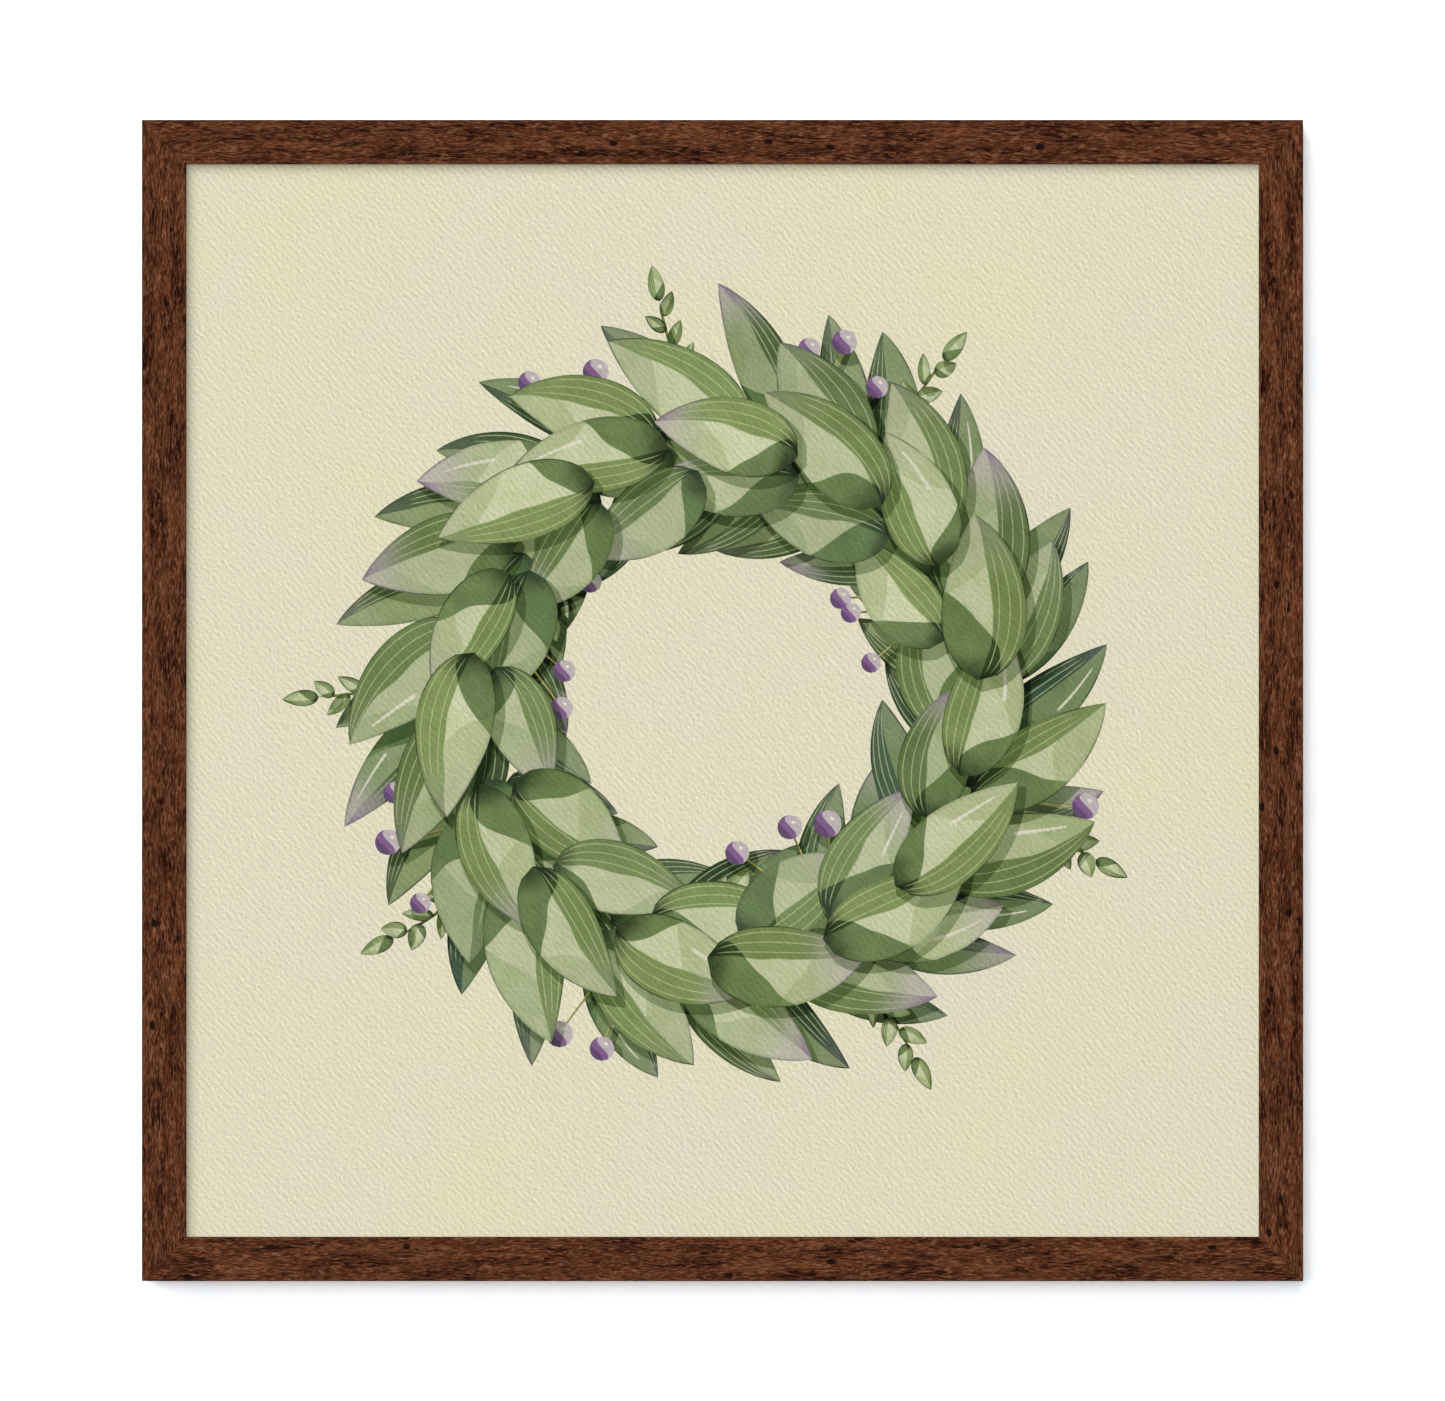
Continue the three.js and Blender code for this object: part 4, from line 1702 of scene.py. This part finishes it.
@dataclass
class Wreath:
    """A ring of overlapping leaves, with sprigs and berries at its edges. Millimetres."""

    radius: float = 118.0
    chance: random.Random = field(default_factory=lambda: random.Random(23))

    def leaf(self, spot_deg: float, radius: float, lean_deg: float, length: float, width: float,
             **paint: float) -> Stroke:
        """Draws a leaf of the ring.

        Args:
            spot_deg: Where its foot is on a circle.
            radius: The circle's radius.
            lean_deg: How far it leans out from the way round it, or in where negative.
            length: About how long it is.
            width: About how wide it is.
            paint: Its light, mauve and cool shares.

        Returns:
            The leaf.
        """
        vary = self.chance.uniform
        spot = math.radians(spot_deg + vary(-4, 4))
        base = (math.cos(spot) * (radius + vary(-5, 5)), math.sin(spot) * (radius + vary(-5, 5)))
        heading = math.degrees(spot) + 90 - lean_deg + vary(-8, 8)
        bend = vary(8, 34) * (1 if lean_deg > 0 else -1)
        size = vary(0.9, 1.1)
        half_width = width / 2 * vary(0.9, 1.1) * size**0.5
        return Stroke(Motif.LEAF, base, heading - bend / 3, length * size, half_width, bend,
                      seed=vary(0, 1), **paint)

    def row(self, count: int, radius: float, lean_deg: float, length: float, width: float,
            lights: Pair, cools: Pair, mauves: float) -> list[Stroke]:
        """Draws leaves spread evenly round the ring.

        Args:
            count: How many there are.
            radius: The radius of the circle that their feet are on.
            lean_deg: How far they lean out from the way round it.
            length: About how long they are.
            width: About how wide they are.
            lights: The range of their light.
            cools: The range of their cool tint.
            mauves: The share of them with lilac tips.

        Returns:
            The leaves, the lowest first.
        """
        vary, leaves = self.chance.uniform, []
        start = vary(0, 360)
        for i in range(count):
            paint = {"light": vary(*lights), "cool": vary(*cools)}
            paint["mauve"] = vary(0.6, 1) if vary(0, 1) < mauves else vary(0, 0.2)
            leaves.append(self.leaf(start + 360 * i / count, radius, lean_deg, length, width, **paint))
        return leaves

    def on_ring(self, spot_deg: float) -> Pair:
        """The point on the ring's middle line at an angle."""
        spot = math.radians(spot_deg)
        return math.cos(spot) * self.radius, math.sin(spot) * self.radius

    def berries(self, spot_deg: float, outward: float) -> list[Stroke]:
        """Draws a bunch of three berries on thin stems.

        Args:
            spot_deg: Where it is on the ring.
            outward: 1 for outside the ring and -1 for inside it.

        Returns:
            The stems, then the berries.
        """
        vary, stems, tops = self.chance.uniform, [], []
        for fan in (-24, 2, 26):
            heading = spot_deg + (0 if outward > 0 else 180) + fan + vary(-6, 6)
            length, bend = vary(44, 58), vary(-25, 25)
            stems.append(Stroke(Motif.STEM, self.on_ring(spot_deg), heading, length, 0.8, bend))
            tip, size = stems[-1].axis()[-1], vary(4.6, 6.4)
            foot = (tip[0], tip[1] - size)
            tops.append(Stroke(Motif.BERRY, foot, 90, 2 * size, size, seed=vary(0, 1)))
        return stems + tops

    def sprig(self, spot_deg: float, lean_deg: float, length: float) -> list[Stroke]:
        """Draws an olive stem with small leaves by turns on its sides.

        Args:
            spot_deg: Where its foot is on the ring.
            lean_deg: How far it leans out from the way round it.
            length: How long the stem is.

        Returns:
            The stem, then its leaves.
        """
        vary = self.chance.uniform
        heading = spot_deg + 90 - lean_deg
        stem = Stroke(Motif.STEM, self.on_ring(spot_deg), heading, length, 1.1, vary(-40, -15))
        axis = stem.axis()
        ways = np.degrees(np.arctan2(*np.diff(axis, axis=0).T[::-1]))
        leaflets = []
        for i, place in enumerate(range(6, stem.steps, 2)):
            heading = ways[place - 1] + (38 if i % 2 else -38)
            shape = vary(15, 20) * (1.1 - 0.02 * place), vary(3.0, 4.2), vary(-15, 15)
            paint = {"light": vary(0.7, 1), "cool": 0.1, "seed": vary(0, 1)}
            leaflets.append(Stroke(Motif.LEAF, tuple(axis[place]), heading, *shape, **paint))
        last = {"light": 0.9, "cool": 0.1, "seed": vary(0, 1)}
        leaflets.append(Stroke(Motif.LEAF, tuple(axis[-1]), ways[-1], 17, 3.8, **last))
        return [stem, *leaflets]

    def strokes(self) -> list[Stroke]:
        """Draws all the shapes.

        Returns:
            The shapes, from the first painted to the last.
        """
        r = self.radius
        made = self.row(24, r + 4, 50, 74, 26, (0.0, 0.35), (0.2, 0.9), 0.15)
        made += self.row(20, r - 8, -55, 60, 22, (0.0, 0.35), (0.2, 0.9), 0.2)
        for i in range(9):
            made += self.sprig(40 * i + 12, 62 if i % 3 else -60, 72 if i % 3 else 60)
        for i in range(8):
            made += self.berries(45 * i + 26, 1 if i % 3 else -1)
        made += self.row(26, r - 3, 0, 56, 30, (0.1, 0.4), (0.0, 0.4), 0.0)
        made += self.row(18, r + 3, 34, 78, 38, (0.5, 1.0), (0.0, 0.3), 0.5)
        made += self.row(14, r - 10, -28, 66, 34, (0.5, 1.0), (0.0, 0.4), 0.45)
        made += self.row(15, r - 1, 5, 74, 36, (0.75, 1.0), (0.0, 0.1), 0.6)
        return made


@dataclass
class FlatPack:
    """What lies in the rebate: glazing, print, mount board and backing board."""

    layout: Layout
    strokes: Sequence[Stroke]

    def cut_front(self) -> tuple[list[Vector], list[list[int]], list[list[int]]]:
        """Cuts the print's front along the edges of its shapes.

        Returns:
            The points, the triangles, and for each triangle the outlines that hold it: the sheet
            is number 0, then come each shape and its shade by turns.
        """
        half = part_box("print_sheet")[1].x / MM
        square = ((-half, -half), (half, -half), (half, half), (-half, half))
        points = [Vector(corner) for corner in square]
        outlines, ribs = [[0, 1, 2, 3]], []
        for stroke in self.strokes:
            for shape in (stroke, stroke.shade()):
                outline = [Vector(point) for point in shape.outline()]
                outlines.append(list(range(len(points), len(points) + len(outline))))
                points += outline
            if stroke.motif is Motif.LEAF:
                axis = stroke.axis()[1:-1]
                ribs += [(len(points) + i, len(points) + i + 1) for i in range(len(axis) - 1)]
                points += [Vector(point) for point in axis]
        grid = np.linspace(-half, half, 14)[1:-1]
        points += [Vector((x, z)) for x in grid for z in grid]
        corners, _, triangles, _, _, owners = delaunay_2d_cdt(points, ribs, outlines, 0, 0.02, True)
        return corners, triangles, owners

    def printed_sheet(self) -> bpy.types.Object:
        """Makes the sheet of paper.

        Returns:
            The sheet, with attributes that tell its finish what is painted where.
        """
        low, high = (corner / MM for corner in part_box("print_sheet"))
        corners, triangles, owners = self.cut_front()
        front = [(point.x, low.y, point.y + self.layout.middle_z) for point in corners]
        rim = self.rim(corners, high.x)
        back = [(corners[i].x, high.y, corners[i].y + self.layout.middle_z) for i in rim]
        count = len(front)
        faces = [list(triangle) for triangle in triangles]
        for i, here in enumerate(rim):
            after = (i + 1) % len(rim)
            faces.append([here, rim[after], count + after, count + i])
        faces.append([count + i for i in range(len(rim))])
        sheet = solid("botanical_print", front + back, faces)
        self.paint(sheet, owners)
        return sheet

    @staticmethod
    def rim(corners: Sequence[Vector], half: float) -> list[int]:
        """Finds the points on the sheet's edge.

        Args:
            corners: All its points.
            half: Half its width.

        Returns:
            Their indices, anticlockwise.
        """
        edge = [i for i, point in enumerate(corners) if max(map(abs, point)) > half - 0.01]
        return sorted(edge, key=lambda i: math.atan2(corners[i].y, corners[i].x))

    def paint(self, sheet: bpy.types.Object, owners: Sequence[Sequence[int]]) -> None:
        """Writes the stroke attributes of each triangle's corners.

        Args:
            sheet: The sheet.
            owners: For each triangle of its front, the outlines that hold it.
        """
        mesh = sheet.data
        places = numbers(mesh.vertices, "co", 3, np.float64)
        flat = places[:, [0, 2]] / MM - np.array([0, self.layout.middle_z])
        loops = numbers(mesh.loops, "vertex_index", 1, np.int32).ravel()
        place, paint, layer = (np.zeros((len(loops), 3), np.float32) for _ in range(3))
        held: dict[int, list[int]] = {}
        for polygon, outlines in zip(mesh.polygons, owners):
            tops = [i for i in outlines if i % 2]
            if not tops:
                continue
            top = max(tops)
            shades = sum(1 for i in outlines if i and i % 2 == 0 and i > top + 1)
            corners = list(range(polygon.loop_start, polygon.loop_start + polygon.loop_total))
            held.setdefault((top - 1) // 2, []).extend(corners)
            layer[corners, 1] = shades
        for index, corners in held.items():
            stroke = self.strokes[index]
            place[corners] = stroke.coordinates(flat[loops[corners]])
            paint[corners] = (stroke.light, stroke.mauve, stroke.cool)
            layer[corners, 0] = stroke.seed
            layer[corners, 2] = stroke.motif.value
        for name, values in {"place": place, "paint": paint, "layer": layer}.items():
            written = mesh.attributes.new(f"stroke_{name}", "FLOAT_VECTOR", "CORNER")
            written.data.foreach_set("vector", values.ravel())

    @staticmethod
    def lay_map(sheet: bpy.types.Object) -> None:
        """Lays out the map to bake through, nearly all of it for the sheet's front.

        Args:
            sheet: The sheet of paper.
        """
        mesh = sheet.data
        low, high = (np.array(corner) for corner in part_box("print_sheet"))
        loops = numbers(mesh.loops, "vertex_index", 1, np.int32).ravel()
        x, y, z = ((numbers(mesh.vertices, "co", 3) - low) / (high - low))[loops].T
        sides = numbers(mesh.polygons, "loop_total", 1, np.int32).ravel()
        to_right, to_back, to_top = np.repeat(numbers(mesh.polygons, "normal", 3), sides, axis=0).T
        # The front takes 0.96 of the map each way. The back is squeezed beside it, then come the edges.
        wide, tall = 0.003 + 0.957 * x, 0.003 + 0.957 * z
        beside = 0.983 + 0.008 * (to_right > 0) + 0.003 * y
        across = np.select([to_back > 0.5, abs(to_right) > 0.5], [0.967 + 0.01 * x, beside], wide)
        up = np.where(abs(to_top) > 0.5, 0.97 + 0.015 * (to_top > 0) + 0.004 * y, tall)
        spots = np.stack([across, up], axis=1).astype(np.float32)
        mesh.uv_layers.new(name="OFBake").uv.foreach_set("vector", spots.ravel())

    def build(self) -> None:
        """Makes the sheet and the boards."""
        sheet = self.printed_sheet()
        self.lay_map(sheet)
        dress(sheet, WatercolourPrint().build())
        take_over(sheet, "frame", "printed_paper", "print_sheet")
        white, brown = (
            Fibreboard(name, *(srgb(*colour) for colour in colours), roughness, contrast)
            for name, colours, roughness, contrast in (
                ("white_board", ((232, 230, 223), (222, 219, 209), (205, 201, 188)), 0.8, 0.5),
                ("hardboard", ((150, 112, 76), (116, 81, 51), (86, 58, 36)), 0.62, 0.8),
            )
        )
        for node, slot, finish, rounding in (
            ("glazing", "clear_acrylic", ClearAcrylic(), 0.15),
            ("mount_board", "white_board", white, 0.2),
            ("backing_board", "hardboard", brown, 0.35),
        ):
            board = rounded_plate(f"{node}_piece", *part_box(node), rounding)
            dress(board, finish.build())
            take_over(board, "frame", slot, node)


# ---- Studio -------------------------------------------------------------------------------


@dataclass
class Studio:
    """A white wall in soft light from the upper left, and the camera square to the picture. Metres."""

    layout: Layout
    lens_mm: float = 600.0
    sensor_mm: float = 36.0
    view_width: float = 0.6694  # at the rails' faces
    wall_gap: float = 0.0002
    room_half: float = 3.0
    hanging_height: float = 1.7  # of the hooks above the floor
    light_distance: float = 22.0
    paint: Colour = (1.73, 1.79, 1.85, 1.0)  # above 1, so that the lit wall is plain white

    def camera(self) -> None:
        """Adds the camera."""
        data = bpy.data.cameras.new("camera")
        data.lens, data.sensor_width = self.lens_mm, self.sensor_mm
        camera = linked("camera", data)
        away = self.view_width * self.lens_mm / self.sensor_mm
        camera.location = (0, self.layout.front * MM - away, self.layout.middle_z * MM)
        camera.rotation_euler = (math.pi / 2, 0, 0)
        bpy.context.scene.camera = camera

    def softbox(self, name: str, way: Point, size: float, share: float,
                mirrored: bool = True) -> bpy.types.Object:
        """Adds a square light that faces the picture.

        Args:
            name: The light's name.
            way: Where it is from the picture, in light distances.
            size: How wide it is, in light distances.
            share: Its share of full daylight at the picture.
            mirrored: Whether gloss shows it.

        Returns:
            The light.
        """
        data = bpy.data.lights.new(name, "AREA")
        data.shape, data.size = "SQUARE", size * self.light_distance
        light = linked(name, data)
        ray = self.light_distance * Vector(way)
        light.location = self.layout.middle + ray
        light.rotation_euler = ray.to_track_quat("Z", "Y").to_euler()
        slant = max(abs(axis) for axis in ray.normalized())
        data.energy = share * math.pi**2 * ray.length_squared / slant  # lights a plane by its share
        light.visible_camera = False
        light.visible_glossy = mirrored
        return light

    def lights(self) -> None:
        """Adds the window's light, a fill, a sheen for gloss alone, and light for sides and back."""
        self.softbox("window", (-0.44, -1, 0.47), 1.2, 0.76, False)
        self.softbox("fill", (0, -1, 0), 0.28, 0.262, False)
        self.softbox("sheen", (-1, -0.35, 0.6), 0.7, 0.6).visible_diffuse = False
        for name, way, size, share in (
            ("left", (-1, 0.45, 0.2), 0.6, 0.4),
            ("right", (1, 0.45, 0.2), 0.6, 0.3),
            ("above", (0, 0.45, 1), 0.6, 0.45),
            ("below", (0, 0.45, -1), 0.6, 0.25),
            ("rear_window", (0.7, 1, 0.6), 0.7, 0.35),
            ("rear_fill", (-0.8, 1, 0.1), 0.8, 0.15),
        ):
            self.softbox(name, way, size, share).data.cycles.max_bounces = 0

    def sky(self) -> None:
        """Lights the room faintly from all round, and shows it white behind everything."""
        world = bpy.data.worlds.new("room")
        world.use_nodes = True
        bpy.context.scene.world = world
        s = Tree(world.node_tree)
        s.tree.nodes.clear()
        path = s.add("ShaderNodeLightPath")
        _, _, height = s.parts(s.add("ShaderNodeNewGeometry")["Position"])
        glossy = path["Is Glossy Ray"]
        seen = 0.13 * (1 - glossy) + glossy * height.ramp(0.25, 1.0) * 0.8
        strength = seen + path["Is Camera Ray"] * (1 - seen)
        light = s.add("ShaderNodeBackground", {"Color": (1, 1, 1, 1), "Strength": strength})
        s.add("ShaderNodeOutputWorld", {"Surface": light})

    def room(self) -> None:
        """Adds the wall and, well below the picture, the floor. Both are only seen."""
        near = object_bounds()[1][1] + self.wall_gap
        s = Surface("white_paint")
        paint = s.add("ShaderNodeBsdfDiffuse", {"Color": self.paint})
        clear = s.add("ShaderNodeBsdfTransparent")
        white = s.mixed(s.add("ShaderNodeNewGeometry")["Backfacing"], paint, clear)
        half, low = self.room_half, -self.hanging_height
        wall = [(-half, near, low), (half, near, low), (half, near, half), (-half, near, half)]
        floor = [(-half, -half, low), (half, -half, low), (half, near, low), (-half, near, low)]
        for name, corners in (("wall", wall), ("floor", floor)):
            made = linked(name, (corners, [], [(0, 1, 2, 3)]))
            dress(made, white)
            for ray in ("diffuse", "glossy", "transmission", "shadow"):
                setattr(made, f"visible_{ray}", False)
            made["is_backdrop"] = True

    def build(self) -> None:
        """Makes the set."""
        self.lights()
        self.sky()
        self.room()
        bpy.context.scene.view_settings.view_transform = "Standard"
        bpy.context.scene.view_settings.look = "None"


# ---- The whole ----------------------------------------------------------------------------


def main() -> None:
    """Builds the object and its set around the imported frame."""
    logging.basicConfig(level=logging.INFO, format="%(name)s: %(message)s")
    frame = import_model()
    layout = Layout.measure()
    studio = Studio(layout)
    studio.camera()

    hinges = {joint["child"]: Vector(joint["pos_m"]) for joint in frame["joints"]}
    hangers, nails, points = Hangers(hinges), VNails(layout), FlexPoints(layout)
    rows, wire = rows_on_sides(), swept_wire()
    grey, dark_grey = srgb(178, 180, 183), srgb(132, 133, 136)
    silver, dark_silver = srgb(196, 197, 196), srgb(150, 149, 144)
    spring = SheetMetal("spring_steel", grey, dark_grey, 0.3, (0.4, 3.0, 3.0)).build()
    plated = SheetMetal("plated_steel", silver, dark_silver, 0.2, (1.5, 1.5, 0.5)).build()

    Moulding(layout, nails, points, hangers).build()
    FlatPack(layout, Wreath().strokes()).build()
    nails.build(rows, spring)
    points.build(rows, spring)
    hangers.build(rows, wire, plated)
    Bumpers().build(rows, BlackRubber().build())
    studio.build()


if __name__ == "__main__":
    main()
